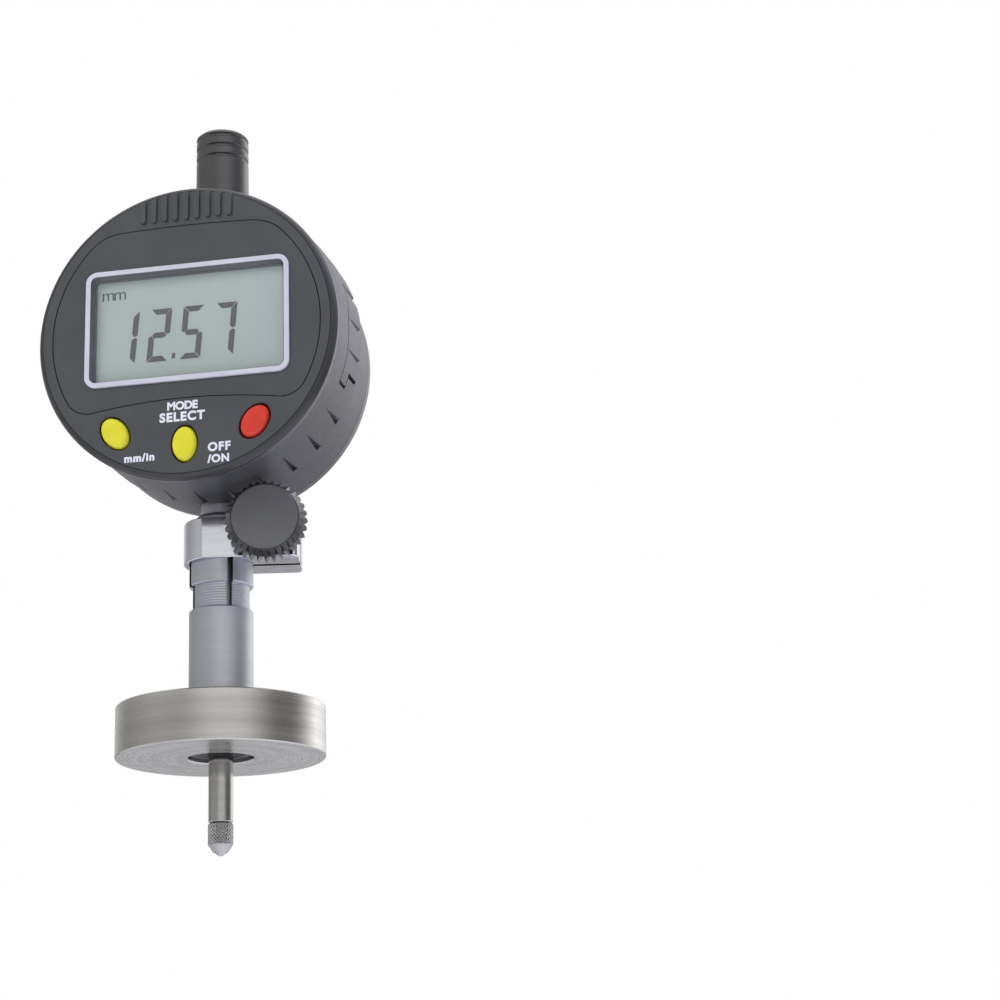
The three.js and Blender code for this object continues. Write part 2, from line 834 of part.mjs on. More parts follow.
// Front case: rim and face plate in one moulding, with ribs, panel pocket and button wells
function frontCase() {
  const rimRadius = caseRadius + rimOverhang;
  const skirt = innerRadius - seamGap;
  let shell = solid(turnedBack([
    [0, faceY],
    [rimRadius - rimBevel, faceY],
    [rimRadius - rimBevel * rimRoundShare, faceY + rimBevelDepth * rimRoundShare],
    [rimRadius, faceY + rimBevelDepth],
    [rimRadius, rimBack - rimBackChamfer],
    [rimRadius - rimBackChamfer, rimBack],
    [skirt, rimBack],
    [skirt, rimBack + skirtLength],
    [skirt - skirtThickness, rimBack + skirtLength],
    [skirt - skirtThickness, plateBack],
    [0, plateBack],
  ]));
  let ribs = null;
  for (let i = 0; i < ribCount; i += 1) {
    const rib = gripRib((i - (ribCount - 1) * halfShare) * ribPitch);
    ribs = ribs ? ribs.add(rib) : rib;
  }
  const ribLimit = pin(rimRadius - rimBevel - ribTopInset, 0, faceY - cutOverrun, caseFacets);
  shell = shell.add(ribs.intersect(solid(ribLimit)));
  const pocket = faceward(panelOutline(panelGap), panelFloor, faceY - cutOverrun);
  shell = shell.subtract(solid(pocket));
  shell = shell.subtract(solid(windowPlate(-windowLedge, plateBack + cutOverrun, faceY)));
  for (const button of buttons) {
    const wellLong = buttonLong + buttonGap;
    const recessLong = wellLong + buttonFlange;
    const well = oval([[0, faceY - cutOverrun], [wellLong, faceY - cutOverrun],
      [wellLong, plateBack + cutOverrun], [0, plateBack + cutOverrun]]);
    const recess = oval([[0, plateBack], [recessLong, plateBack], [recessLong, mainBoardFront], [0, mainBoardFront]]);
    shell = shell.subtract(solid(atButton(well, button))).subtract(solid(atButton(recess, button)));
  }
  return shell;
}

// Face panel: a thin inset plate with the window cut through it
function facePanel() {
  const front = faceY;
  const plate = solid(faceward(panelOutline(0), panelFloor - fitGap, front));
  const opening = solid(windowPlate(windowBar + fitGap, 0, faceY - cutOverrun));
  return plate.subtract(opening);
}

// Window frame: the pale raised bar round the glass
function windowFrame() {
  const outer = solid(windowPlate(windowBar, panelFloor - fitGap, faceY - windowProud));
  return outer.subtract(solid(windowPlate(0, 0, faceY - cutOverrun)));
}

// Back cover: a turned disc with countersunk screw seats
function backCover() {
  let cover = solid(turnedBack([
    [0, coverFront],
    [rearRadius, coverFront],
    [rearRadius, -coverEdge],
    [rearRadius - coverEdge, 0],
    [0, 0],
  ]));
  for (let i = 0; i < coverScrewCount; i += 1) {
    const [x, z] = coverScrewPlace(i);
    const through = pin(coverScrewRadius + fitGap, cutOverrun, coverFront - cutOverrun);
    const seat = -coverScrewRecess - coverScrewHeadHeight - fitGap;
    const sink = pin(coverScrewHeadRadius + fitGap, cutOverrun, seat);
    cover = cover.subtract(solid(through.translate(x, 0, z))).subtract(solid(sink.translate(x, 0, z)));
  }
  return cover;
}

// Cover screw: low round head on a plain shank
function coverScrew(i) {
  const [x, z] = coverScrewPlace(i);
  const top = -coverScrewRecess;
  const under = top - coverScrewHeadHeight;
  const foot = bodyBack - coverScrewLength + seatGap;
  return turnedBack([
    [0, foot],
    [coverScrewRadius, foot],
    [coverScrewRadius, under],
    [coverScrewHeadRadius, under],
    [coverScrewHeadRadius, top],
    [0, top],
  ], fineFacets).translate(x, 0, z);
}

piece(head, 'body_case', bodyCase(), casePlastic());
piece(head, 'front_case', frontCase(), casePlastic());
piece(head, 'face_panel', facePanel(), casePlastic());
piece(head, 'window_frame', windowFrame(), finish('#c9cad6', 0.5, 0));
piece(head, 'window_lens', windowPlate(-fitGap, panelFloor - fitGap, panelFloor - fitGap - lensThickness),
  finish('#dfe8e6', 0.05, 0, { transparent: true, opacity: 0.3 }));
piece(head, 'back_cover', backCover(), casePlastic());
for (let i = 0; i < coverScrewCount; i += 1) {
  piece(head, `cover_screw_${i + 1}`, coverScrew(i), groundSteel());
}

// Display holder: a box frame with a lip that keeps the display in
function displayHolder() {
  const outer = displayMargin + fitGap + holderWall;
  const front = plateBack + fitGap;
  const back = mainBoardFront - fitGap;
  const shell = solid(windowPlate(outer, back, front));
  const cavity = solid(windowPlate(displayMargin + fitGap, back + cutOverrun, front + holderLip));
  const opening = solid(windowPlate(-windowLedge, 0, front - cutOverrun));
  return shell.subtract(cavity).subtract(opening);
}

// One conductive rubber strip between the display and the main board
function contactStrip(side) {
  const edge = windowHeight * halfShare + displayMargin - stripMargin;
  const halfLength = windowWidth * halfShare - stripEndMargin;
  const near = windowRise + side * edge;
  const far = windowRise + side * (edge - stripWidth);
  return block(
    [windowOffset - halfLength, displayBack + fitGap, Math.min(near, far)],
    [windowOffset + halfLength, mainBoardFront - fitGap, Math.max(near, far)],
  );
}

// Key mat: a rubber sheet with one dome under each button
function keyMat() {
  const radius = innerRadius - keyMatInset;
  const start = Math.asin(keyMatTop / radius);
  const sheetShape = new THREE.Shape();
  sheetShape.absarc(0, 0, radius, start, -Math.PI - start, true);
  const back = mainBoardFront - fitGap;
  const front = back - keyMatThickness;
  let mat = solid(faceward(sheetShape, back, front));
  for (const button of buttons) {
    const dome = pin(domeRadius, back, front - domeHeight, fineFacets).translate(button.x, 0, button.z);
    mat = mat.add(solid(dome));
  }
  return mat;
}

// Reader board: the fixed half of the linear encoder, screwed to the frame's bosses
function readerBoard() {
  const low = lugFoot + readerOverlap;
  const high = frameTop - readerOverlap;
  let board = solid(block([-readerHalfWidth, readerFront, low], [readerHalfWidth, readerBack, high]));
  for (const [x, z] of readerBossPlaces()) {
    board = board.subtract(solid(pin(readerScrewRadius + fitGap, 0, faceY).translate(x, 0, z)));
  }
  return board;
}

function readerBossPlaces() {
  const lowZ = lugTop - lugHeight * halfShare;
  const highZ = frameTop - topLugHeight * halfShare;
  return [[-readerBossReach, highZ], [readerBossReach, lowZ]];
}

function readerScrew([x, z]) {
  const top = readerFront - fitGap - readerScrewHeadHeight;
  return turnedBack([
    [0, top],
    [readerScrewHeadRadius, top],
    [readerScrewHeadRadius, readerFront - fitGap],
    [readerScrewRadius, readerFront - fitGap],
    [readerScrewRadius, lugFrontY],
    [0, lugFrontY],
  ], fineFacets).translate(x, 0, z);
}

piece(head, 'display_holder', displayHolder(), finish('#e4e4e0', 0.6, 0));
piece(head, 'display_panel', windowPlate(displayMargin, displayBack, displayFront), finish('#a3b2ae', 0.25, 0));
piece(head, 'contact_strip_top', contactStrip(1), finish('#8a6f52', 0.8, 0));
piece(head, 'contact_strip_bottom', contactStrip(-1), finish('#8a6f52', 0.8, 0));
piece(head, 'main_board', pin(innerRadius - seatGap, mainBoardBack, mainBoardFront, caseFacets), boardGreen());
piece(head, 'key_mat', keyMat(), finish('#2e2e30', 0.85, 0));
piece(head, 'reader_board', readerBoard(), boardGreen());
piece(head, 'board_header', block(
  [-headerWidth * halfShare, mainBoardBack + fitGap, lugFoot + headerRise],
  [headerWidth * halfShare, readerFront - fitGap, lugFoot + headerRise + headerHeight],
), darkPlastic());
readerBossPlaces().forEach((place, i) => {
  piece(head, `reader_screw_${i + 1}`, readerScrew(place), groundSteel());
});

// Buttons: domed oval caps with a flange behind the face plate and a stalk to the dome
for (const button of buttons) {
  const flangeFront = plateBack + fitGap;
  const flangeBack = flangeFront + buttonFlangeThickness;
  const top = faceY - buttonProud;
  const stalkEnd = mainBoardFront - fitGap - keyMatThickness - domeHeight - buttonTravel - fitGap;
  const crown = buttonCrownShares.map(({ inset, drop }) =>
    [buttonLong - buttonEdgeRadius * inset, top + buttonEdgeRadius * drop]);
  const cap = oval([
    [0, top],
    ...crown,
    [buttonLong, flangeFront],
    [buttonLong + buttonFlange, flangeFront],
    [buttonLong + buttonFlange, flangeBack],
    [0, flangeBack],
  ]);
  const stalk = pin(stalkRadius, stalkEnd, flangeBack - buttonFlangeThickness * halfShare, fineFacets);
  const body = solid(atButton(cap, button)).add(solid(stalk.translate(button.x, 0, button.z)));
  piece(head, button.name, body, finish(button.color, 0.45, 0));
}

// Battery tray: a cup for the cell, closed at its sides and front
function batteryTray() {
  const half = trayWidth * halfShare;
  const box = solid(block(
    [trayStart, trayFront, trayRise - half],
    [caseRadius, trayBack, trayRise + half],
  ));
  const limit = solid(pin(innerRadius - fitGap, trayBack, trayFront, caseFacets));
  const cup = pin(cellRadius + fitGap, trayBack + cutOverrun, trayFront + trayWall, smallFacets);
  const contactHole = pin(cellRadius * halfShare, trayBack + cutOverrun, trayFront - cutOverrun, smallFacets);
  cup.translate(cellX, 0, trayRise);
  contactHole.translate(cellX, 0, trayRise);
  return box.intersect(limit).subtract(solid(cup)).subtract(solid(contactHole));
}

// Button cell with its smaller pole to the front
function buttonCell() {
  const front = trayFront + trayWall + fitGap;
  const back = front + cellThickness;
  return turnedBack([
    [0, front],
    [cellCapRadius, front],
    [cellCapRadius, front + cellCapHeight],
    [cellRadius - cellEdge, front + cellCapHeight],
    [cellRadius, front + cellCapHeight + cellEdge],
    [cellRadius, back - cellEdge],
    [cellRadius - cellEdge, back],
    [0, back],
  ], smallFacets).translate(cellX, 0, trayRise);
}

// Minus contact: a leaf on the main board that reaches towards the tray's hole
function minusContact() {
  const half = springLeafWidth * halfShare;
  const foot = mainBoardBack + fitGap;
  const tray = trayFront - seatGap;
  const leaf = new THREE.Shape(points([
    [-half, foot],
    [half, foot],
    [half, foot + springLeafThickness],
    [0, foot + springLeafThickness],
    [half * halfShare, tray - springLeafThickness],
    [half * halfShare, tray],
    [-half * halfShare, tray],
    [-half, foot + springLeafThickness],
  ]));
  const strip = new THREE.ExtrudeGeometry(leaf, { depth: springLeafWidth, bevelEnabled: false });
  return strip.translate(cellX, 0, trayRise - half);
}

// Plus contact: a leaf that stands between the boards at the tray's inner end
function plusContact() {
  const right = trayStart - seatGap;
  return block(
    [right - springLeafThickness, mainBoardBack + fitGap, trayRise - springLeafWidth],
    [right, readerFront - seatGap, trayRise + springLeafWidth],
  );
}

piece(head, 'battery_door', batteryDoor(), casePlastic());
piece(head, 'battery_tray', batteryTray(), darkPlastic());
piece(head, 'battery_cell', buttonCell(), satinChrome());
piece(head, 'battery_contact_minus', minusContact(), brass());
piece(head, 'battery_contact_plus', plusContact(), brass());

// Frame: a back plate with a lug at each end that carries the stem and the nipple
function mainFrame() {
  const lowLug = block([-lugHalfWidth, lugFrontY, lugFoot], [lugHalfWidth, frameBack, lugTop]);
  const topLug = block([-lugHalfWidth, lugFrontY, frameTop - topLugHeight], [lugHalfWidth, frameBack, frameTop]);
  const plate = block([-frameHalfWidth, framePlateFront, frameFoot], [frameHalfWidth, frameBack, frameTop]);
  let frame = solid(plate).add(solid(lowLug)).add(solid(topLug));
  for (const [x, z] of readerBossPlaces()) {
    const boss = pin(readerBossRadius, spindleY, lugFrontY - readerBossLength).translate(x, 0, z);
    frame = frame.add(solid(boss));
  }
  for (const [x, z] of readerBossPlaces()) {
    const hole = pin(readerScrewRadius + fitGap, lugFrontY + fitGap, faceY).translate(x, 0, z);
    frame = frame.subtract(solid(hole));
  }
  const stemHole = rod(stemRadius + fitGap, lugFoot - cutOverrun, lugTop + cutOverrun);
  const nippleHole = rod(nippleRadius + fitGap, frameTop - topLugHeight - cutOverrun, frameTop + cutOverrun);
  frame = frame.subtract(solid(stemHole.translate(0, spindleY, 0)));
  frame = frame.subtract(solid(nippleHole.translate(0, spindleY, 0)));
  const slotHalf = guidePinRadius + guideSlotGap;
  const pinZ = carriageTop - guidePinDrop;
  const slot = block(
    [-slotHalf, framePlateFront - cutOverrun, pinZ - slotHalf],
    [slotHalf, cutOverrun, pinZ + spindleTravel + slotHalf],
  );
  const postHole = pin(springPostRadius + fitGap, 0, spindleY).translate(-springReach, 0, springPostZ);
  return frame.subtract(solid(slot)).subtract(solid(postHole));
}

// Stem: the plain shank that the neck's collet grips
function stem() {
  const flangeTop = lugFoot - fitGap;
  const flangeFoot = flangeTop - stemFlangeThickness;
  return turnedUp([
    [stemBoreRadius, stemFoot],
    [stemRadius - stemEdge, stemFoot],
    [stemRadius, stemFoot + stemEdge],
    [stemRadius, flangeFoot],
    [stemFlangeRadius, flangeFoot],
    [stemFlangeRadius, flangeTop],
    [stemRadius, flangeTop],
    [stemRadius, lugTop],
    [stemBoreRadius, lugTop],
    [stemBoreRadius, stemFoot],
  ], smallFacets);
}

// Lower bush: the spindle's bearing in the end of the stem
function lowerBush() {
  const outer = stemBoreRadius - fitGap;
  const inner = spindleRadius + fitGap;
  const foot = stemFoot + stemEdge;
  return turnedUp([
    [inner, foot], [outer, foot], [outer, foot + lowerBushLength], [inner, foot + lowerBushLength], [inner, foot],
  ], smallFacets);
}

// Upper bush: the spindle's top bearing and the nipple that the dust cap screws on
function upperBush() {
  const inner = spindleRadius + fitGap;
  const foot = frameTop - topLugHeight;
  const flangeFoot = frameTop + fitGap;
  return turnedUp([
    [inner, foot],
    [nippleRadius, foot],
    [nippleRadius, flangeFoot],
    [nippleFlangeRadius, flangeFoot],
    [nippleFlangeRadius, flangeFoot + nippleFlangeThickness],
    [nippleRadius, flangeFoot + nippleFlangeThickness],
    [nippleRadius, nippleTop],
    [inner, nippleTop],
    [inner, foot],
  ], smallFacets);
}

// Dust cap: a turned cap with three round grooves below its edge
function dustCap() {
  const foot = caseRadius - capPocketDepth + fitGap;
  const roof = capTop - capRoof;
  const profile = [
    [nippleRadius + fitGap, foot],
    [capRadius + capFlare, foot],
  ];
  for (let i = capGrooveCount - 1; i >= 0; i -= 1) {
    const middle = capTop - capGrooveFirst - capGrooveWidth * halfShare - i * capGroovePitch;
    profile.push([capRadius, middle - capGrooveWidth * halfShare]);
    profile.push([capRadius - capGrooveDepth, middle - capGrooveWidth * halfShare * halfShare]);
    profile.push([capRadius - capGrooveDepth, middle + capGrooveWidth * halfShare * halfShare]);
    profile.push([capRadius, middle + capGrooveWidth * halfShare]);
  }
  profile.push([capRadius, capTop - capEdgeRadius]);
  profile.push([capRadius - capEdgeRadius, capTop]);
  profile.push([0, capTop]);
  profile.push([0, roof]);
  profile.push([capBoreRadius, roof]);
  profile.push([capBoreRadius, nippleTop + fitGap]);
  profile.push([nippleRadius + fitGap, nippleTop + fitGap]);
  profile.push([nippleRadius + fitGap, foot]);
  return turnedUp(profile);
}

piece(head, 'main_frame', mainFrame(), castAlloy());
const plunger = new THREE.Group();
plunger.position.y = spindleY;
head.add(plunger);
piece(plunger, 'stem', stem(), satinChrome());
piece(plunger, 'lower_bush', lowerBush(), brass());
piece(plunger, 'upper_bush', upperBush(), brass());
piece(plunger, 'dust_cap', dustCap(), darkPlastic());

// Spindle: one ground rod, tapped at its foot for the contact
function spindle() {
  const socket = contactStudRadius + fitGap;
  return turnedUp([
    [0, spindleFoot + contactStudLength + fitGap],
    [socket, spindleFoot + contactStudLength + fitGap],
    [socket, spindleFoot],
    [spindleRadius - spindleEdge, spindleFoot],
    [spindleRadius, spindleFoot + spindleEdge],
    [spindleRadius, spindleTop - spindleEdge],
    [spindleRadius - spindleEdge, spindleTop],
    [0, spindleTop],
  ], smallFacets);
}

// Contact point: grip, cone and the seat of its ball
function contactPoint() {
  const top = spindleFoot - fitGap;
  const tip = spindleFoot - contactLength;
  const grip = top - contactGripLength;
  const nose = tip + ballShow;
  const seat = tip + ballRadius * doubleCount + fitGap;
  const pocket = ballRadius + fitGap * halfShare;
  return turnedUp([
    [0, spindleFoot + contactStudLength],
    [contactStudRadius, spindleFoot + contactStudLength],
    [contactStudRadius, top],
    [contactRadius, top],
    [contactRadius, grip],
    [contactNoseRadius, nose],
    [pocket, nose],
    [pocket, seat],
    [0, seat],
  ], smallFacets);
}

function contactBall() {
  const middle = spindleFoot - contactLength + ballRadius;
  return new THREE.SphereGeometry(ballRadius, fineFacets, fineFacets * halfShare)
    .rotateX(Math.PI / 2)
    .translate(0, 0, middle);
}

piece(plunger, 'spindle', spindle(), groundSteel());
piece(plunger, 'contact_point', contactPoint(), groundSteel());
piece(plunger, 'contact_ball', contactBall(), groundSteel());

// Carriage: clamped on the spindle, it carries the moving half of the encoder
function scaleCarriage() {
  const body = solid(block(
    [-carriageHalfWidth, -carriageFront, carriageFoot],
    [carriageHalfWidth, carriageBack, carriageTop],
  ));
  const bore = rod(spindleRadius + fitGap, carriageFoot - cutOverrun, carriageTop + cutOverrun);
  const pinHole = pin(guidePinRadius + fitGap, carriageBack + cutOverrun, guidePinStart - fitGap);
  pinHole.translate(0, 0, carriageTop - guidePinDrop);
  const seatEnd = -carriageHalfWidth + springPinSeat + fitGap;
  const springHole = crossPin(springPinRadius + fitGap, -carriageHalfWidth - cutOverrun, seatEnd);
  springHole.translate(0, 0, carriageTop - springPinDrop);
  return body.subtract(solid(bore)).subtract(solid(pinHole)).subtract(solid(springHole));
}

function scaleStrip() {
  const back = -carriageFront - fitGap;
  return block(
    [-stripBoardHalfWidth, back - stripBoardThickness, carriageFoot],
    [stripBoardHalfWidth, back, carriageFoot + stripBoardHeight],
  );
}

function guidePin() {
  const end = spindleDepth - coverThickness - guidePinEndGap;
  return pin(guidePinRadius, end, guidePinStart).translate(0, 0, carriageTop - guidePinDrop);
}

function springPin() {
  const start = -springReach - springPinPast;
  return crossPin(springPinRadius, start, -carriageHalfWidth + springPinSeat)
    .translate(0, 0, carriageTop - springPinDrop);
}

piece(plunger, 'scale_carriage', scaleCarriage(), castAlloy());
piece(plunger, 'scale_strip', scaleStrip(), boardGreen());
piece(plunger, 'guide_pin', guidePin(), groundSteel());
piece(plunger, 'spring_pin', springPin(), groundSteel());

// Return spring: one helix of fine wire between the frame's post and the carriage's pin
class Helix extends THREE.Curve {
  constructor(radius, low, high, turns) {
    super();
    Object.assign(this, { radius, low, high, turns });
  }

  getPoint(t, target = new THREE.Vector3()) {
    const angle = t * this.turns * Math.PI * 2;
    const height = this.low + (this.high - this.low) * t;
    return target.set(this.radius * Math.cos(angle), this.radius * Math.sin(angle), height);
  }
}

function returnSpring() {
  const low = springPostZ + springPostRadius + seatGap;
  const high = carriageTop - springPinDrop - springPinRadius - seatGap;
  const path = new Helix(springRadius, low, high, springTurns);
  const wire = new THREE.Shape();
  wire.absarc(0, 0, springWire, 0, Math.PI * 2);
  const coil = new THREE.ExtrudeGeometry(wire, {
    steps: springTurns * springSteps,
    extrudePath: path,
    curveSegments: springSides * halfShare,
    bevelEnabled: false,
  });
  return coil.translate(-springReach, 0, 0);
}

function springPost() {
  const end = -springRadius - springPostPast;
  return pin(springPostRadius, spindleDepth - coverThickness - guidePinEndGap, end)
    .translate(-springReach, 0, springPostZ);
}

piece(plunger, 'return_spring', returnSpring(), groundSteel());
piece(plunger, 'spring_post', springPost(), groundSteel());

export default gauge;
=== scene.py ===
import math

import bmesh
import bpy
from mathutils import Matrix, Vector


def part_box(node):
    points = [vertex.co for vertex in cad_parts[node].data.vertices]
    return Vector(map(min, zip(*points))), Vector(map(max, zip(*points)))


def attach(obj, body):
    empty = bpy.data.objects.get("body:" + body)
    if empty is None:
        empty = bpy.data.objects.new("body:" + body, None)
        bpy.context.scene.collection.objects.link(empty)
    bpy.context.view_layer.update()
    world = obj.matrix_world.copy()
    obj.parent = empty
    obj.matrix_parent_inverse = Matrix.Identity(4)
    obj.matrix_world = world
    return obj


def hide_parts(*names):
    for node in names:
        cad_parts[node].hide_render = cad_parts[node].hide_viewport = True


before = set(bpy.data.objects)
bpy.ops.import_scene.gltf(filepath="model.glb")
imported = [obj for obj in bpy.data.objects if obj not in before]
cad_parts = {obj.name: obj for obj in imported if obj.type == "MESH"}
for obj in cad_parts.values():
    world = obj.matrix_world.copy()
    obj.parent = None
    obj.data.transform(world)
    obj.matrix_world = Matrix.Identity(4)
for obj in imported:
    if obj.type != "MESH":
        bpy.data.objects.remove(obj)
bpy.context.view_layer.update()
print("frame loaded,", len(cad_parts), "nodes")

mm = 0.001
fullTurn = 2 * math.pi
spindleY = -8.0           # the spindle runs this far in front of the back cover


def hexColour(text, alpha=1.0):   # sRGB hex to linear
    channels = []
    for start in (1, 3, 5):
        value = int(text[start:start + 2], 16) / 255
        channels.append(value / 12.92 if value <= 0.04045 else ((value + 0.055) / 1.055) ** 2.4)
    return (*channels, alpha)


def take(look, names):            # several settings at once
    return [look[name] for name in names.split()]


def boxOf(node):                  # a CAD node's corners in millimetres
    low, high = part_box(node)
    return low / mm, high / mm


# Mesh making: outlines and profiles in millimetres, objects in metres

def softened(corners, radius=0.0, closed=True, steps=4):
    # every corner is rounded by its own third value, or by radius
    result = []
    count = len(corners)
    for i, corner in enumerate(corners):
        here = Vector(corner[:2])
        size = corner[2] if len(corner) > 2 else radius
        if size == 0 or (not closed and i in (0, count - 1)):
            result.append(tuple(here))
            continue
        before = Vector(corners[i - 1][:2]) - here
        after = Vector(corners[(i + 1) % count][:2]) - here
        angle = before.angle(after)
        reach = size / math.tan(angle / 2) if angle < math.pi - 0.001 else size
        reach = min(reach, before.length * 0.49, after.length * 0.49)
        start = here + before.normalized() * reach
        end = here + after.normalized() * reach
        for k in range(steps + 1):
            t = k / steps
            result.append(tuple(start * (1 - t) ** 2 + here * 2 * t * (1 - t) + end * t * t))
    return result


def insetLoop(loop, amount):      # moves a counterclockwise outline inwards
    result = []
    for i, point in enumerate(loop):
        here = Vector(point)
        before = (here - Vector(loop[i - 1])).normalized()
        after = (Vector(loop[(i + 1) % len(loop)]) - here).normalized()
        outward = Vector((before.y + after.y, -before.x - after.x))
        share = 1 + before.dot(after)
        result.append(tuple(here - outward * (amount / max(share, 0.2))))
    return result


def placed(name, data):           # a new object in the scene
    thing = bpy.data.objects.new(name, data)
    bpy.context.scene.collection.objects.link(thing)
    return thing


def discard(thing):
    mesh = thing.data
    bpy.data.objects.remove(thing)
    bpy.data.meshes.remove(mesh)


def closedMesh(name, points, faces):   # points in millimetres; the faces are turned outwards
    mesh = bpy.data.meshes.new(name)
    mesh.from_pydata([tuple(c * mm for c in point) for point in points], [], faces)
    shell = bmesh.new()
    shell.from_mesh(mesh)
    bmesh.ops.recalc_face_normals(shell, faces=shell.faces)
    shell.to_mesh(mesh)
    shell.free()
    return placed(name, mesh)


def skinned(name, loops, ring=False):
    # loops of equal length are joined in order; open ends get caps, a ring joins its last loop to its first
    count, last = len(loops[0]), len(loops) - 1
    pairs = [(k, k + 1) for k in range(last)]
    if ring:
        pairs.append((last, 0))
    faces = []
    for a, b in pairs:
        for i in range(count):
            j = (i + 1) % count
            faces.append((a * count + i, a * count + j, b * count + j, b * count + i))
    if not ring:
        faces.append(tuple(reversed(range(count))))
        faces.append(tuple(range(last * count, (last + 1) * count)))
    return closedMesh(name, [point for loop in loops for point in loop], faces)


def arc(x, y, radius, first, last, steps, skip=0):   # points from one angle in degrees to another
    points = []
    for i in range(skip, steps + 1):
        angle = math.radians(first + (last - first) * i / steps)
        points.append((x + radius * math.cos(angle), y + radius * math.sin(angle)))
    return points


def around(radius, angle):
    return radius * math.cos(angle), radius * math.sin(angle)


def circleLoop(radius, height, steps):
    return [(*around(radius, fullTurn * i / steps), height) for i in range(steps)]


def moved(piece, matrix):         # the move goes into the mesh, so that the object stays at the origin
    piece.data.transform(matrix)
    return piece


def shift(x, y, z):
    return Matrix.Translation((x * mm, y * mm, z * mm))


def spun(degrees, axis="Y"):
    return Matrix.Rotation(math.radians(degrees), 4, axis)


onSpindle = shift(0, spindleY, 0)


def turnedUp(name, profile, steps=160, ring=False, place=onSpindle):
    return moved(skinned(name, [circleLoop(r, z, steps) for r, z in profile], ring), place)


def turnedBack(name, profile, steps=240, ring=False, x=0.0, z=0.0):
    # profile pairs are radius and depth, with depth along Y
    loops = [[(px, depth, pz) for px, pz, _ in circleLoop(radius, 0, steps)] for radius, depth in profile]
    return moved(skinned(name, loops, ring), shift(x, 0, z))


def faceward(name, layers, outline):
    # layers are pairs of inset and depth, from the back to the front
    loops = [[(x, depth, z) for x, z in insetLoop(outline, inset)] for inset, depth in layers]
    return skinned(name, loops)


def baked(piece):                 # modifiers go into the mesh
    graph = bpy.context.evaluated_depsgraph_get()
    mesh = bpy.data.meshes.new_from_object(piece.evaluated_get(graph), preserve_all_data_layers=True,
                                           depsgraph=graph)
    old = piece.data
    piece.modifiers.clear()
    piece.data = mesh
    bpy.data.meshes.remove(old)
    return piece


def combined(piece, others, operation="DIFFERENCE"):
    for other in others:
        step = piece.modifiers.new("join", "BOOLEAN")
        step.operation = operation
        step.solver = "MANIFOLD"
        step.object = other
    baked(piece)
    for other in others:
        discard(other)
    return piece


def joined(name, parts):          # separate closed shells in one mesh
    shell = bmesh.new()
    for part in parts:
        shell.from_mesh(part.data)
        discard(part)
    mesh = bpy.data.meshes.new(name)
    shell.to_mesh(mesh)
    shell.free()
    return placed(name, mesh)


def fitted(piece, body, material, replaced=(), edge=0.0, sharpDeg=32):
    if edge:
        bevel = piece.modifiers.new("edge", "BEVEL")
        bevel.width = edge * mm
        bevel.segments = 2
        bevel.limit_method = "ANGLE"
        bevel.angle_limit = math.radians(sharpDeg)
        bevel.miter_outer = "MITER_SHARP"
        bevel.use_clamp_overlap = True
        baked(piece)
    piece.data.shade_smooth()
    piece.data.set_sharp_from_angle(angle=math.radians(sharpDeg))
    weighted = piece.modifiers.new("normals", "WEIGHTED_NORMAL")
    weighted.keep_sharp = True
    baked(piece)
    piece.data.materials.clear()
    piece.data.materials.append(material)
    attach(piece, body)
    if replaced:
        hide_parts(*replaced)
    return piece


def block(name, low, high):       # a cutter
    loops = [[(low[0], low[1], z), (high[0], low[1], z), (high[0], high[1], z), (low[0], high[1], z)]
             for z in (low[2], high[2])]
    return skinned(name, loops)


# Material making
noiseSpan = (0.3, 0.7)            # noise mostly stays within this


def feed(tree, node, inputs):     # a socket is linked, anything else is set
    for key, value in inputs.items():
        if isinstance(value, bpy.types.NodeSocket):
            tree.links.new(value, node.inputs[key])
        else:
            node.inputs[key].default_value = value


def addNode(tree, kind, inputs=None, **settings):
    node = tree.nodes.new(kind)
    for key, value in settings.items():
        setattr(node, key, value)
    feed(tree, node, inputs or {})
    return node


def newMaterial(name):
    material = bpy.data.materials.new(name)
    material.use_nodes = True
    tree = material.node_tree
    surface = tree.nodes["Principled BSDF"]
    place = tree.nodes.new("ShaderNodeTexCoord").outputs["Object"]
    return material, tree, surface, place


def perMm(size):                  # noise scale for a pattern of that size in millimetres
    return 1 / (size * mm)


def rampBetween(tree, factor, colours):
    ramp = addNode(tree, "ShaderNodeValToRGB", {"Fac": factor})
    for element, position, colour in zip(ramp.color_ramp.elements, noiseSpan, colours):
        element.position = position
        element.color = colour
    return ramp.outputs["Color"]


def noiseAt(tree, place, size, detail=2.0, stretch=(1, 1, 1)):
    # cloudy pattern of that size in millimetres, drawn out along an axis where stretch is above 1
    drawn = addNode(tree, "ShaderNodeMapping", {"Vector": place, "Scale": tuple(1 / s for s in stretch)})
    noise = addNode(tree, "ShaderNodeTexNoise", {"Vector": drawn.outputs["Vector"], "Scale": perMm(size),
                                                 "Detail": detail})
    return noise.outputs["Fac"]


def spread(tree, factor, low, high):
    scaled = addNode(tree, "ShaderNodeMapRange", {"Value": factor, "From Min": noiseSpan[0],
                                                  "From Max": noiseSpan[1], "To Min": low, "To Max": high})
    return scaled.outputs["Result"]


def dressed(tree, surface, colours, roughness, slow, fine, relief, depth):
    # tone follows the slow pattern, roughness and relief follow the fine one
    base = rampBetween(tree, slow, [hexColour(colour) for colour in colours])
    bump = addNode(tree, "ShaderNodeBump", {"Height": fine, "Strength": relief, "Distance": depth * mm})
    feed(tree, surface, {"Base Color": base, "Normal": bump.outputs["Normal"],
                         "Roughness": spread(tree, fine, roughness - 0.05, roughness + 0.06)})


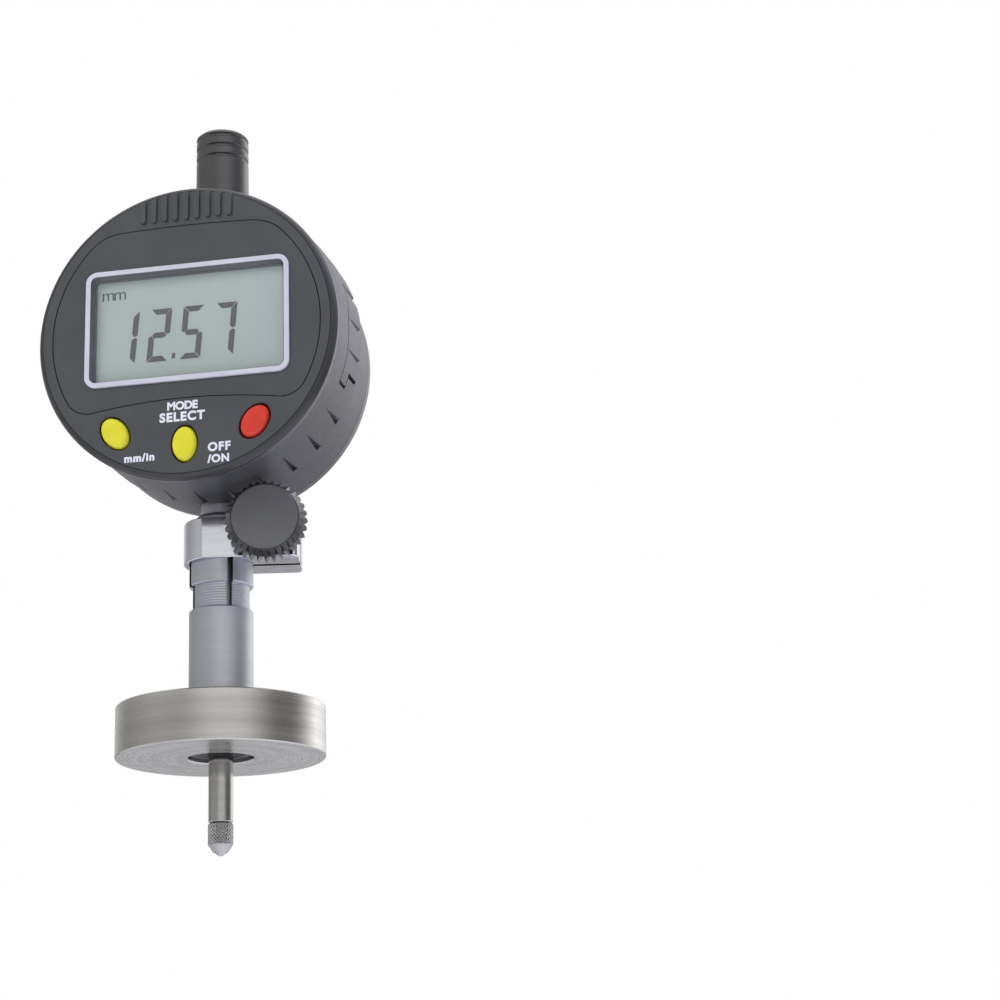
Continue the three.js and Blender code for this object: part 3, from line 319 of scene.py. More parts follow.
def grained(name, colour, shade, roughness, mottle, grain, relief, specular=0.5, metallic=0.0):
    # moulded, sprayed or cast: even fine grain, faint mottling, a soft wide sheen
    material, tree, surface, place = newMaterial(name)
    slow, fine = noiseAt(tree, place, mottle, 3.0), noiseAt(tree, place, grain)
    dressed(tree, surface, (shade, colour), roughness, slow, fine, relief, grain * 0.25)
    feed(tree, surface, {"Specular IOR Level": specular, "Metallic": metallic})
    if not metallic:
        surface.inputs["IOR"].default_value = 1.54
    return material


def turned(name, colour, shade, roughness, line, band, relief, run=(1, 1, 1), onAxis=False):
    # lathe-cut or brushed steel: fine lines that run round the piece, with slow bands of tone between them
    material, tree, surface, place = newMaterial(name)
    if onAxis:                    # tool marks are rings about the spindle, on flat faces too
        parts = addNode(tree, "ShaderNodeSeparateXYZ", {"Vector": place})
        depth = addNode(tree, "ShaderNodeMath", {0: parts.outputs["Y"], 1: spindleY * mm},
                        operation="SUBTRACT")
        flat = addNode(tree, "ShaderNodeCombineXYZ", {"X": parts.outputs["X"], "Y": depth.outputs[0]})
        radius = addNode(tree, "ShaderNodeVectorMath", {0: flat.outputs[0]}, operation="LENGTH")
        turn = addNode(tree, "ShaderNodeMath", {0: depth.outputs[0], 1: parts.outputs["X"]},
                       operation="ARCTAN2")
        bend = addNode(tree, "ShaderNodeMath", {0: turn.outputs[0], 1: 0.4 * mm}, operation="MULTIPLY")
        place = addNode(tree, "ShaderNodeCombineXYZ", {"X": radius.outputs["Value"], "Y": bend.outputs[0],
                                                       "Z": parts.outputs["Z"]}).outputs[0]
    fine, slow = noiseAt(tree, place, line, 2.0, run), noiseAt(tree, place, band, 2.0, run)
    dressed(tree, surface, (shade, colour), roughness, slow, fine, relief, line * 0.2)
    surface.inputs["Metallic"].default_value = 1.0
    return material


# Grain and brush lines are drawn coarser than such surfaces have them, so that they show.
# Faces of the casing: dark and even, with a soft wide sheen
caseAbs = grained("charcoal moulded ABS", "#434548", "#3d3f42", roughness=0.36, mottle=7.0, grain=0.35,
                  relief=0.2)
# Flank: rougher skin, which catches the lamp without a highlight
bandAbs = grained("spark-eroded charcoal ABS", "#46474a", "#3f4043", roughness=0.42, mottle=5.0, grain=0.45,
                  relief=0.5, specular=0.28)
# Rim: smooth, a thin line of sheen round the face; its darker tone is painted shade
rimShadeAbs = grained("polished charcoal ABS with painted shade", "#333435", "#2f3031", roughness=0.32, mottle=7.0, grain=0.2,
                 relief=0.02, specular=0.35)
# Dust cap: near black and glossy, the tent stands on it as upright bands
capAbs = grained("black moulded ABS", "#2e2f2f", "#282929", roughness=0.3, mottle=5.0, grain=0.15,
                 relief=0.01, specular=0.9)
# Knob: glossy teeth, each with a highlight of its own, and a matt face
knobAbs = grained("glossy moulded knob ABS", "#3a3b3c", "#353637", roughness=0.22, mottle=4.0, grain=0.5,
                  relief=0.03, specular=0.3)
knobFaceAbs = grained("grey matt knob ABS", "#5a5b5d", "#535456", roughness=0.45, mottle=3.0, grain=0.4,
                      relief=0.03)
# Window trim: pale satin paint in front; inside, the walls are dark as painted shade for the shadow in the
# window's reveal
framePaint = grained("lilac painted trim", "#cdced9", "#c4c5d1", roughness=0.35, mottle=6.0, grain=0.3,
                     relief=0.04)
revealShadeAbs = grained("trim inside the window, dark as painted shade", "#6a6b6f", "#626367", roughness=0.5, mottle=6.0,
                    grain=0.3, relief=0.04)
# Keys: dyed through, clear colour under a soft sheen
yellowAbs = grained("yellow moulded ABS", "#e0db2e", "#d9d326", roughness=0.36, mottle=3.0, grain=0.3,
                    relief=0.05)
redAbs = grained("red moulded ABS", "#d03420", "#c72d1a", roughness=0.36, mottle=3.0, grain=0.3, relief=0.05)
# Inside: dull white holder, sooty rubber, layered strips, lacquered boards, dull cast grey
whiteAbs = grained("white moulded ABS", "#e4e4e0", "#dcdcd8", roughness=0.5, mottle=5.0, grain=0.3,
                   relief=0.08)
matRubber = grained("black silicone rubber", "#2e2e30", "#29292b", roughness=0.7, mottle=4.0, grain=0.2,
                    relief=0.1)
stripRubber = grained("brown conductive rubber", "#8a6f52", "#6d5942", roughness=0.7, mottle=1.2, grain=0.2,
                      relief=0.1)
boardGlass = grained("green glass-fibre board", "#1f5a38", "#184a2d", roughness=0.45, mottle=1.5, grain=0.4,
                     relief=0.1)
castMetal = grained("die-cast zinc alloy", "#8f9194", "#7f8184", roughness=0.5, mottle=2.0, grain=0.3,
                    relief=0.25, metallic=0.9)
# Print and display: flat white ink, even grey-green glass, dark violet segments
labelInk = grained("white printed ink", "#e6e8f2", "#dddfe9", roughness=0.5, mottle=2.0, grain=0.2,
                   relief=0.05)
displayCell = grained("liquid crystal cell", "#a9b8b4", "#a2b1ad", roughness=0.3, mottle=20.0, grain=0.3,
                      relief=0.02)
displayInk = grained("liquid crystal segment", "#332f39", "#2e2a33", roughness=0.5, mottle=3.0, grain=0.3,
                     relief=0.02)

# Base disc: rings of the lathe under a brushed haze, highlights drawn out
discSteel = turned("turned and brushed steel", "#c0beba", "#adaba7", roughness=0.27, line=0.3, band=2.0,
                   relief=0.06, onAxis=True)
# Neck and stem: blasted before plating, so broad soft highlights and hardly a line
satinChrome = turned("satin chrome plate", "#bebfc6", "#b7b9c0", roughness=0.5, line=0.35, band=3.0,
                     relief=0.03, onAxis=True)
# Clamp: near a mirror on its flats
brightChrome = turned("polished chrome plate", "#cfd0d6", "#c5c6cc", roughness=0.12, line=0.4, band=3.0,
                      relief=0.03, run=(8, 8, 1))
# Spindle and contact: sharp light and dark bands down the rod
groundSteel = turned("centreless ground steel", "#aaa9a6", "#a09f9c", roughness=0.14, line=0.25, band=2.0,
                     relief=0.02, onAxis=True)
# Walls of the neck's slits: dark and dull, painted shade for the deep slots
slitShadeSteel = turned("steel darkened as painted shade", "#4a4b4a", "#3e3f3e", roughness=0.5, line=0.25, band=1.0,
                   relief=0.1, run=(1, 1, 6))
# Bushes and battery contacts: yellow with clear tool marks
turnedBrass = turned("turned brass", "#b8964f", "#a8863f", roughness=0.3, line=0.25, band=1.5, relief=0.2,
                     run=(10, 10, 1))
print("materials made")


# Depth base: turned disc, its rim brushed round
baseLow, baseHigh = boxOf("base_disc")
baseDisc = {"radius": 20.0, "bore": 6.3, "edge": 0.22, "round": 0.08}


def makeBaseDisc(look):
    r, edge, bore = look["radius"], look["edge"], look["bore"]
    foot, top = baseLow.z, baseHigh.z
    profile = softened([
        (bore, foot + 0.25, 0), (bore + 0.25, foot, look["round"]), (r - edge, foot, look["round"]),
        (r, foot + edge, look["round"]), (r, top - edge, look["round"]), (r - edge, top, look["round"]),
        (bore + 0.25, top, look["round"]), (bore, top - 0.25, 0)])
    piece = turnedUp("depth_base", profile, 320, ring=True)
    fitted(piece, "stand", discSteel, ["base_disc"])


makeBaseDisc(baseDisc)

# Neck: chromed tube with a relief groove, slit into four jaws that grip the stem
neck = {"radius": 6.2, "bore": 4.2, "edge": 0.25, "endDepth": 0.5, "groove": 5.5, "grooveLow": -49.806,
        "grooveHigh": -45.106, "shoulder": -32.406, "tipRadius": 5.4, "tipChamfer": 0.8, "slit": 1.1,
        "slitTurn": 33.0, "jaws": 4, "rings": 9, "ringDepth": 0.07}


def makeNeck(look):
    low, high = boxOf("neck_sleeve")
    r, edge, groove, bore, tip = take(look, "radius edge groove bore tipRadius")
    foot, top, end = look["grooveLow"], look["grooveHigh"], low.z + look["endDepth"]
    profile = [(bore + 0.3, end), (r - edge, end, 0.08), (r, end + edge, 0.08), (r, foot - edge, 0.06),
               (r - edge, foot, 0.06), (groove, foot)]
    pitch = (top - foot) / look["rings"]
    for i in range(look["rings"]):     # tool marks left in the groove
        middle = foot + pitch * (i + 0.5)
        profile += [(groove, middle - pitch * 0.3), (groove - look["ringDepth"], middle),
                    (groove, middle + pitch * 0.3)]
    profile += [(groove, top), (r - edge, top, 0.06), (r, top + edge, 0.06), (r, look["shoulder"], 0.05),
                (tip, look["shoulder"]), (tip, high.z - look["tipChamfer"], 0.06),
                (tip - look["tipChamfer"], high.z, 0.06), (bore + 0.2, high.z), (bore, high.z - 0.2),
                (bore, end + 0.3)]
    piece = turnedUp("neck_tube", softened(profile), 128, ring=True)
    slits = []
    for i in range(look["jaws"]):
        slit = block("slit", (0, -look["slit"] / 2, foot), (r + 1, look["slit"] / 2, high.z + 1))
        turn = spun(look["slitTurn"] - 90 + 360 * i / look["jaws"], "Z")
        slits.append(moved(slit, onSpindle @ turn))
    combined(piece, slits)
    fitted(piece, "stand", satinChrome, ["neck_sleeve"])
    piece.data.materials.append(slitShadeSteel)
    axis = Vector((0, spindleY * mm, 0))
    # these faces take painted shade, dark as the deep slits and the hidden end look
    for side in piece.data.polygons:      # walls of the slits, and the end inside the disc
        spoke = (side.center - axis).to_2d()
        outward = abs(spoke.normalized().dot(side.normal.to_2d()))
        inSlit = abs(side.normal.z) < 0.1 and outward < 0.4
        if inSlit or (side.normal.z < -0.5 and side.center.z < (end + 0.3) * mm):
            side.material_index = 1


makeNeck(neck)
print("stand made")

# Clamp: milled ring with two flats and a slit ear, bright chrome
clampTurn = 11.5
clampPlace = onSpindle @ spun(clampTurn, "Z")
clampRing = {"radius": 7.3, "flat": 6.65, "ear": 15.4, "corner": 1.3, "edge": 0.3, "bore": 6.3, "slit": 1.4,
             "slitStart": 3.0, "screwReach": 9.7, "screwHeight": -35.306, "screwHole": 1.85, "past": 9.0}


def clampOutline(look, steps=20):
    radius, flat, corner = look["radius"], look["flat"], look["corner"]
    start = math.degrees(math.atan2(flat, -math.sqrt(radius ** 2 - flat ** 2)))
    reach, side = look["ear"] - corner, flat - corner
    return (arc(0, 0, radius, start, 360 - start, steps * 2) + arc(reach, -side, corner, -90, 0, steps // 2)
            + arc(reach, side, corner, 0, 90, steps // 2))


def makeClampRing(look):
    low, high = boxOf("clamp_ring")
    outline, edge, half, past = clampOutline(look), look["edge"], look["slit"] / 2, look["past"]
    layers = [(edge, low.z), (edge * 0.3, low.z + edge * 0.3), (0, low.z + edge), (0, high.z - edge),
              (edge * 0.3, high.z - edge * 0.3), (edge, high.z)]
    piece = skinned("clamp_body", [[(x, y, z) for x, y in insetLoop(outline, inset)] for inset, z in layers])
    bore = turnedUp("bore", [(look["bore"], low.z - 1), (look["bore"], high.z + 1)], 128, place=Matrix())
    slit = block("slit", (look["slitStart"], -half, low.z - 1), (look["ear"] + 1, half, high.z + 1))
    hole = turnedBack("hole", [(look["screwHole"], -past), (look["screwHole"], past)], 64,
                      x=look["screwReach"], z=look["screwHeight"])
    combined(piece, [bore, slit, hole])
    moved(piece, clampPlace)
    fitted(piece, "clamp", brightChrome, ["clamp_ring"], edge=0.1)


makeClampRing(clampRing)

# Clamp knob: sharp V teeth flare back from a flat face
knobPlace = clampPlace @ shift(clampRing["screwReach"], 0, clampRing["screwHeight"])
knob = {"teeth": 32, "tip": 8.0, "valley": 6.45, "back": -6.95, "hub": 4.4, "hubFront": -10.45, "hubRim": 7.0,
        "rim": 7.9, "rimStart": -11.1, "rimEnd": -13.1, "face": -16.0, "faceRadius": 6.3, "socket": 1.85,
        "disc": 0.6, "crown": 0.14}


def makeKnob(look):
    front, size, rim, tip, valley = take(look, "face faceRadius rim tip valley")
    blank = turnedBack("knob_body", softened([
        (look["hubRim"], look["hubFront"]), (rim, look["rimStart"], 0.2), (rim, look["rimEnd"], 0.3),
        (size + 0.25, front + 0.25, 0.2), (size - 0.1, front, 0.15), (size * 0.5, front)], closed=False), 360)
    outline = []
    for i in range(look["teeth"]):
        for share, reach in ((0.0, tip), (0.03, tip - 0.04), (0.47, valley + 0.05), (0.5, valley),
                             (0.53, valley + 0.05), (0.97, tip - 0.04)):
            outline.append(around(reach, fullTurn * (i + share) / look["teeth"]))
    star = faceward("star", [(0, -9), (0, -17)], outline)
    combined(blank, [star], "INTERSECT")
    hub = turnedBack("hub", [(look["hub"], look["back"]), (look["hub"], look["hubFront"] - 1)], 96)
    combined(blank, [hub], "UNION")
    socket = look["socket"]
    hole = turnedBack("socket", [(socket, look["back"] + 1), (socket, look["rimEnd"] - 0.1)], 64)
    combined(blank, [hole])
    moved(blank, knobPlace)
    fitted(blank, "knob", knobAbs, ["clamp_knob"], sharpDeg=24)
    back, edge = front + look["disc"], size - 0.02
    disc = turnedBack("knob_face", softened([
        (1.0, back), (edge, back), (edge, front + 0.02, 0.05), (edge - 0.12, front - 0.08, 0.08),
        (1.0, front - look["crown"])], closed=False), 160)
    fitted(moved(disc, knobPlace), "knob", knobFaceAbs, sharpDeg=40)


makeKnob(knob)

# Clamp screw: rolled thread, turned into the rear ear
screw = {"radius": 1.75, "root": 1.45, "pitch": 0.7, "front": -13.1, "back": 6.05, "perPitch": 8, "sides": 36}


def makeClampScrew(look):
    length = look["back"] - look["front"]
    rows = int(length / look["pitch"] * look["perPitch"])
    loops = []
    for row in range(rows + 1):
        depth = look["back"] - length * row / rows
        loop = []
        for i in range(look["sides"]):
            phase = (depth / look["pitch"] + i / look["sides"]) % 1
            reach = look["root"] + (look["radius"] - look["root"]) * abs(2 * phase - 1)
            reach = min(reach, look["radius"] - 0.4 + (look["back"] - depth))
            x, z = around(reach, fullTurn * i / look["sides"])
            loop.append((x, depth, z))
        loops.append(loop)
    piece = moved(skinned("clamp_screw_thread", loops), knobPlace)
    fitted(piece, "knob", groundSteel, ["clamp_screw"], sharpDeg=50)


makeClampScrew(screw)
print("clamp made")


# Casing: the band with its tapered grip notches, and the battery door cut from it
case = {"radius": 29.0, "wall": 1.8, "front": -27.9, "back": -2.3, "step": -12.2, "rearRadius": 28.6,
        "ledgeFront": -23.8, "ledgeBack": -22.2, "ledgeWidth": 1.5, "screwCircle": 25.2, "bossRadius": 2.6,
        "bossLength": 7.5, "screwHole": 1.1, "stemHole": 4.15, "nippleHole": 3.65, "capSpot": 5.6,
        "capFloor": 27.8}
notch = {"count": 29, "start": 71.3, "length": 9.7, "width": 1.5, "depth": 1.2, "first": 1.5, "clear": 9.0,
         "pryClear": 5.0}
door = {"top": 10.0, "foot": -7.25, "tab": 2.2, "tabWidth": 3.6, "front": -21.5, "back": -12.2, "gap": 0.28,
        "tabGap": 0.35, "holeFront": -18.0, "holeBack": -12.8, "holeWidth": 0.9, "holeDepth": 2.4}


# The right flank swells where the battery door sits: angle from the top, radius
swell = {"reach": [(34, 28.95), (38, 29.0), (44, 29.25), (48, 29.5), (53, 29.78), (57, 30.1), (60, 30.36),
                   (66, 30.32), (72, 30.27), (78, 30.15), (84, 29.7), (90, 29.55), (97, 29.5), (105, 29.4),
                   (112, 29.25), (120, 29.1), (128, 28.95)],
         "root": 28.0, "rim": 29.6, "front": -29.35, "seat": 29.1}


def surfaceAt(angle):
    reach = swell["reach"]
    if not reach[0][0] < angle < reach[-1][0]:
        return case["radius"]
    for (a, low), (b, high) in zip(reach, reach[1:]):
        if a <= angle <= b:
            return max(case["radius"], low + (high - low) * (angle - a) / (b - a))


def flankSwell():
    first, last = swell["reach"][0][0], swell["reach"][-1][0]
    steps = (last - first) * 2
    loops = []
    layers = ((case["step"], 0), (case["step"] - 8, 0), (case["front"] + 1, 0.4), (swell["front"], 1))
    for depth, share in layers:
        loop = []
        for i in range(steps, -1, -1):
            angle = first + (last - first) * i / steps
            reach = sum(surfaceAt(angle + turn) for turn in (-1.5, -0.75, 0, 0.75, 1.5)) / 5
            reach -= 0.05 if i in (0, steps) else 0
            reach -= share * max(0, reach - swell["rim"])     # it meets the rim's edge at the front
            z, x = around(reach, math.radians(angle))
            loop.append((x, depth, z))
        for i in range(0, steps + 1, 4):
            z, x = around(swell["root"], math.radians(first + (last - first) * i / steps))
            loop.append((x, depth, z))
        loops.append(loop)
    piece = skinned("swell", loops)
    seat = turnedBack("seat", [(swell["seat"], case["front"]), (swell["seat"], swell["front"] - 1)], 240)
    return combined(piece, [seat])


def caseBand(name):
    r, inner = case["radius"], case["radius"] - case["wall"]
    ledge = inner - case["ledgeWidth"]
    ring = turnedBack(name, softened([
        (r, case["front"], 0.1), (r, case["step"], 0.06), (case["rearRadius"], case["step"], 0.06),
        (case["rearRadius"], case["back"], 0.1), (inner, case["back"]), (inner, case["ledgeBack"]),
        (ledge, case["ledgeBack"]), (ledge, case["ledgeFront"]), (inner, case["ledgeFront"]),
        (inner, case["front"])]), 360, ring=True)
    return combined(ring, [flankSwell()], "UNION")


def notchWedge(angle, front, length, width, depth):
    r = surfaceAt(angle)
    out = r + 1
    half = width / 2 * (out - r + depth) / depth
    wedge = closedMesh("wedge", [(0, front, r), (-half, front + length, out), (half, front + length, out),
                                 (0, front + length, r - depth)],
                       [(0, 1, 2), (0, 2, 3), (0, 3, 1), (1, 3, 2)])
    return moved(wedge, spun(angle))


pryAngle = 90 + math.degrees(math.asin(-door["foot"] / case["radius"]))


def gripNotches():
    wedges = []
    for i in range(notch["count"]):
        angle = (notch["start"] + i * 360 / notch["count"]) % 360
        if min(angle, 360 - angle) > notch["clear"] and abs(angle - pryAngle) > notch["pryClear"]:
            grow = notch["first"] if i == 0 else 1     # the one over the door is cut deeper
            wedges.append(notchWedge(angle, case["step"] - notch["length"], notch["length"],
                                     notch["width"] * grow, notch["depth"] * grow))
    return joined("notches", wedges)


def pryHole():
    half, reach = door["holeWidth"] / 2, surfaceAt(pryAngle)
    slot = block("slot", (-half, door["holeFront"], reach - door["holeDepth"]),
                 (half, door["holeBack"], reach + 1))
    return moved(slot, spun(pryAngle))


def doorPrism(grow):
    front, back = door["front"] - grow, door["back"] + grow
    step = door["front"] + door["tabWidth"] + grow
    top, foot = door["top"] + grow, door["foot"] - grow
    tabFoot = foot - door["tab"] - (door["tabGap"] if grow else 0)
    outline = [(front, tabFoot), (step, tabFoot), (step, foot), (back, foot), (back, top),
               (front, top)]
    return skinned("door_prism", [[(x, y, z) for y, z in softened(outline, 0.25)]
                                  for x in (case["radius"] * 0.5, case["radius"] + 2)])


def coverScrewPlaces():
    for i in range(4):
        z, x = around(case["screwCircle"], math.radians(45 + 90 * i))
        yield x, z


def makeCase():
    back, inside = case["back"], case["radius"] - 0.9
    body = caseBand("case_band")
    outside = turnedBack("outside", [(inside, 0), (inside, -31)], 240)
    bosses = joined("bosses", [
        turnedBack("boss", [(case["bossRadius"], back), (case["bossRadius"], back - case["bossLength"])], 48,
                   x=x, z=z) for x, z in coverScrewPlaces()])
    combined(bosses, [outside], "INTERSECT")
    combined(body, [bosses], "UNION")
    holes = joined("holes", [
        turnedBack("hole", [(case["screwHole"], 0), (case["screwHole"], back - 6.5)], 24, x=x, z=z)
        for x, z in coverScrewPlaces()])
    stemHole = turnedUp("stem_hole", [(case["stemHole"], -30), (case["stemHole"], -10)], 96)
    nippleHole = turnedUp("nipple_hole", [(case["nippleHole"], 10), (case["nippleHole"], 30)], 96)
    capSpot = turnedUp("cap_spot", [(case["capSpot"], case["capFloor"]), (case["capSpot"], 31)], 96)
    combined(body, [holes, stemHole, nippleHole, capSpot, doorPrism(door["gap"]), gripNotches(), pryHole()])
    fitted(body, "head", bandAbs, ["body_case"], sharpDeg=24)
    leaf = caseBand("battery_door_cover")
    combined(leaf, [doorPrism(0)], "INTERSECT")
    combined(leaf, [gripNotches(), pryHole()])
    fitted(leaf, "battery_drawer", bandAbs, ["battery_door"], sharpDeg=24)


makeCase()
print("casing made")


# Front case: rim, face plate, ribs, panel pocket and button wells
face = {"front": -31.4, "plateBack": -29.2, "panelFloor": -30.2, "panelBack": -30.3, "rim": 29.65,
        "rimBack": -28.0, "skirt": 27.05, "skirtBack": -26.8, "skirtInner": 26.2, "panelRadius": 26.4,
        "ribs": 9, "ribPitch": 2.15, "ribWidth": 1.15, "ribHeight": 0.5, "ribFoot": 22.62, "ribReach": 28.5,
        "beadRoot": 28.45}
window = {"x": 0.3, "z": 1.6, "width": 38.1, "height": 21.3, "corner": 1.1, "bar": 1.15, "proud": 0.5,
          "ledge": 0.4}
keys = [
    {"name": "left", "x": -13.688, "z": -19.546, "tilt": -36, "material": yellowAbs,
     "slot": "yellow_plastic"},
    {"name": "middle", "x": 0.0, "z": -22.765, "tilt": 0, "material": yellowAbs, "slot": "yellow_plastic"},
    {"name": "right", "x": 13.688, "z": -19.546, "tilt": 36, "material": redAbs, "slot": "red_plastic"},
]
keySqueeze = 2.4 / 3.4            # width of an oval key over its height
well = {"radius": 3.75, "rim": 3.98, "back": -28.0, "recess": 4.3, "recessBack": -24.8}
ahead = -33.0                     # a depth in front of the whole face


def curveTo(points, control, end, steps=24):
    start, control, end = Vector(points[-1]), Vector(control), Vector(end)
    for i in range(1, steps + 1):
        t = i / steps
        points.append(tuple(start * (1 - t) ** 2 + control * 2 * t * (1 - t) + end * t * t))


def panelOutline(grow):
    size = face["panelRadius"]
    radius, top, foot = size + grow, size * 0.8 + grow, -size * 0.57 - grow
    shoulder, corner = 45, 28     # the side arcs reach this many degrees up and down
    shoulderX, footX = size * 0.455, size * 0.712
    (sideX, sideZ), (lowX, lowZ) = arc(0, 0, radius, shoulder, -corner, 1)
    bendX = sideX - (top - sideZ) * math.tan(math.radians(shoulder))
    bendLow = lowX - (lowZ - foot) * math.tan(math.radians(corner))
    points = [(-shoulderX, top)]
    curveTo(points, (0, top + size * 0.023), (shoulderX, top))
    curveTo(points, (bendX, top), (sideX, sideZ))
    points += arc(0, 0, radius, shoulder, -corner, 40, skip=1)
    curveTo(points, (bendLow, foot), (footX, foot))
    curveTo(points, (0, foot + size * 0.114), (-footX, foot))
    curveTo(points, (-bendLow, foot), (-lowX, lowZ))
    points += arc(0, 0, radius, 180 + corner, 180 - shoulder, 40, skip=1)
    curveTo(points, (-bendX, top), (-shoulderX, top))
    return list(reversed(points[:-1]))


def windowOutline(grow, steps=10):
    corner = max(window["corner"] + grow, window["corner"] / 2)
    halfX, halfZ = window["width"] / 2 + grow - corner, window["height"] / 2 + grow - corner
    points = []
    for signX, signZ, first in ((1, -1, -90), (1, 1, 0), (-1, 1, 90), (-1, -1, 180)):
        x, z = window["x"] + signX * halfX, window["z"] + signZ * halfZ
        points += arc(x, z, corner, first, first + 90, steps)
    return points


def oval(name, profile, key, steps=128):
    squeeze = Matrix.Diagonal((keySqueeze, 1, 1, 1))
    turn = spun(key["tilt"])
    return moved(turnedBack(name, profile, steps), shift(key["x"], 0, key["z"]) @ turn @ squeeze)


def makeRibs():
    ribs = []
    half, front = face["ribWidth"] / 2, face["front"] - face["ribHeight"]
    layers = [(0, face["front"] + 0.5), (0, front + 0.15), (0.05, front + 0.04), (0.15, front)]
    for i in range(face["ribs"]):
        x = (i - (face["ribs"] - 1) / 2) * face["ribPitch"]
        outline = [(x + half, face["rim"]), (x - half, face["rim"])]
        outline += arc(x, face["ribFoot"] + half, half, 180, 360, 12)
        ribs.append(faceward("rib", layers, outline))
    return ribs


def makeFrontCase():
    front, bead, skirt, inner = take(face, "front beadRoot skirt skirtInner")
    shell = turnedBack("front_shell", softened([
        (28.0, front), (bead, front, 0.1), (bead, face["rimBack"]), (skirt, face["rimBack"]),
        (skirt, face["skirtBack"], 0.1), (inner, face["skirtBack"], 0.1), (inner, face["plateBack"])],
        closed=False), 360)
    for rib in makeRibs():
        limit = turnedBack("limit", [(face["ribReach"], 0), (face["ribReach"], ahead)], 240)
        combined(rib, [limit], "INTERSECT")
        combined(shell, [rib], "UNION")
    pocket = faceward("pocket", [(0, face["panelFloor"]), (0, front + 0.06), (-0.08, front - 0.05)],
                      panelOutline(0.2))
    opening = faceward("opening", [(0, -28), (0, ahead)], windowOutline(-window["ledge"]))
    cuts = [pocket, opening]
    for key in keys:
        cuts.append(oval("well", [(well["radius"], well["back"]), (well["radius"], front + 0.15),
                                  (well["rim"], front - 0.08)], key))
        cuts.append(oval("recess", [(well["recess"], face["plateBack"]),
                                    (well["recess"], well["recessBack"])], key))
    combined(shell, cuts)
    fitted(shell, "head", caseAbs, ["front_case"], sharpDeg=24)


makeFrontCase()


# the bead's tone, darker than the faces, is painted shade
def makeRimBead():                # polished edge round the face, darker than the sparked faces
    root, rim, front, back = face["beadRoot"] + 0.02, face["rim"], face["front"], face["rimBack"]
    bead = turnedBack("rim_bead", softened([
        (root, back), (root, front + 0.14), (root + 0.14, front + 0.03, 0.08), (29.2, -30.95, 0.5),
        (rim, -30.1, 0.4), (rim, -29.5, 0.2), (29.3, back, 0.08)], steps=6), 360, ring=True)
    fitted(bead, "head", rimShadeAbs, sharpDeg=24)


makeRimBead()


def makeFacePanel():
    front = face["front"]
    plate = faceward("panel_plate", [(0, face["panelBack"]), (0, front + 0.1), (0.03, front + 0.03),
                                     (0.1, front)], panelOutline(0.05))
    opening = faceward("opening", [(0, -29), (0, ahead)], windowOutline(window["bar"] + 0.1))
    combined(plate, [opening])
    fitted(plate, "head", caseAbs, ["face_panel"], sharpDeg=24)


makeFacePanel()


def makeWindow():
    front, back = face["front"] - window["proud"], face["panelBack"]
    section = softened([(window["bar"], back), (window["bar"], front, 0.12), (0.2, front, 0.1),
                        (0.08, front + 0.25), (0, back)], steps=4)
    loops = [[(x, depth, z) for x, z in windowOutline(grow)] for grow, depth in section]
    frameBar = skinned("window_bar", loops, ring=True)
    fitted(frameBar, "head", framePaint, ["window_frame"])
    frameBar.data.materials.append(revealShadeAbs)
    middle = Vector((window["x"], 0, window["z"])) * mm
    # the inner walls take the dark reveal material, painted shade for the shadow inside the window
    for side in frameBar.data.polygons:      # only the front and the outside of the bar are painted
        spoke = side.center - middle
        spoke.y = 0
        if side.normal.y > -0.5 and spoke.dot(side.normal) < 0:
            side.material_index = 1


makeWindow()


# Buttons: domed oval caps with a flange and a stalk behind the face
button = {"dome": [(1.2, -32.15), (2.2, -32.13), (2.62, -32.08), (2.9, -31.96), (3.12, -31.78),
                   (3.27, -31.54), (3.36, -31.25), (3.4, -30.95)],
          "flange": 3.95, "flangeFront": -29.1, "flangeBack": -28.5, "stalk": 1.3}


def makeButton(look, key):
    node, side = "button_" + key["name"], look["dome"][-1][0]
    flange, front, back = take(look, "flange flangeFront flangeBack")
    cap = oval("button_cap_" + key["name"], look["dome"] + [(side, front), (flange, front), (flange, back)],
               key)
    stalk = turnedBack("stalk", [(look["stalk"], back - 0.2), (look["stalk"], boxOf(node)[1].y)], 48,
                       x=key["x"], z=key["z"])
    combined(cap, [stalk], "UNION")
    fitted(cap, key["name"] + "_key", key["material"], [node], sharpDeg=40)


for key in keys:
    makeButton(button, key)
print("front made")

# Stem: chromed tube with a flange inside the casing
stem = {"radius": 4.0, "bore": 3.1, "edge": 0.3, "flange": 5.2, "flangeLow": 6.3, "flangeHigh": 5.1}


def makeStem(look):
    low, high = boxOf("stem")
    r, bore, edge, flange = take(look, "radius bore edge flange")
    under, over = high.z - look["flangeLow"], high.z - look["flangeHigh"]
    piece = turnedUp("stem_tube", softened([
        (bore, low.z), (r - edge, low.z, 0.1), (r, low.z + edge, 0.1), (r, under), (flange, under, 0.1),
        (flange, over, 0.1), (r, over), (r, high.z, 0.1), (bore, high.z)]), 128, ring=True)
    fitted(piece, "head", satinChrome, ["stem"])


makeStem(stem)

# Dust cap: moulded, with three round grooves under its crown
cap = {"nipple": 3.6, "nippleTop": 34.1, "foot": 5.4, "wall": 5.3, "groove": 4.95, "grooves": 3,
       "pitch": 2.25, "first": 1.35, "half": 0.45, "floor": 0.2, "crown": 4.6, "bend": 0.7,
       "roof": 1.5, "inner": 3.0, "pin": 0.5}


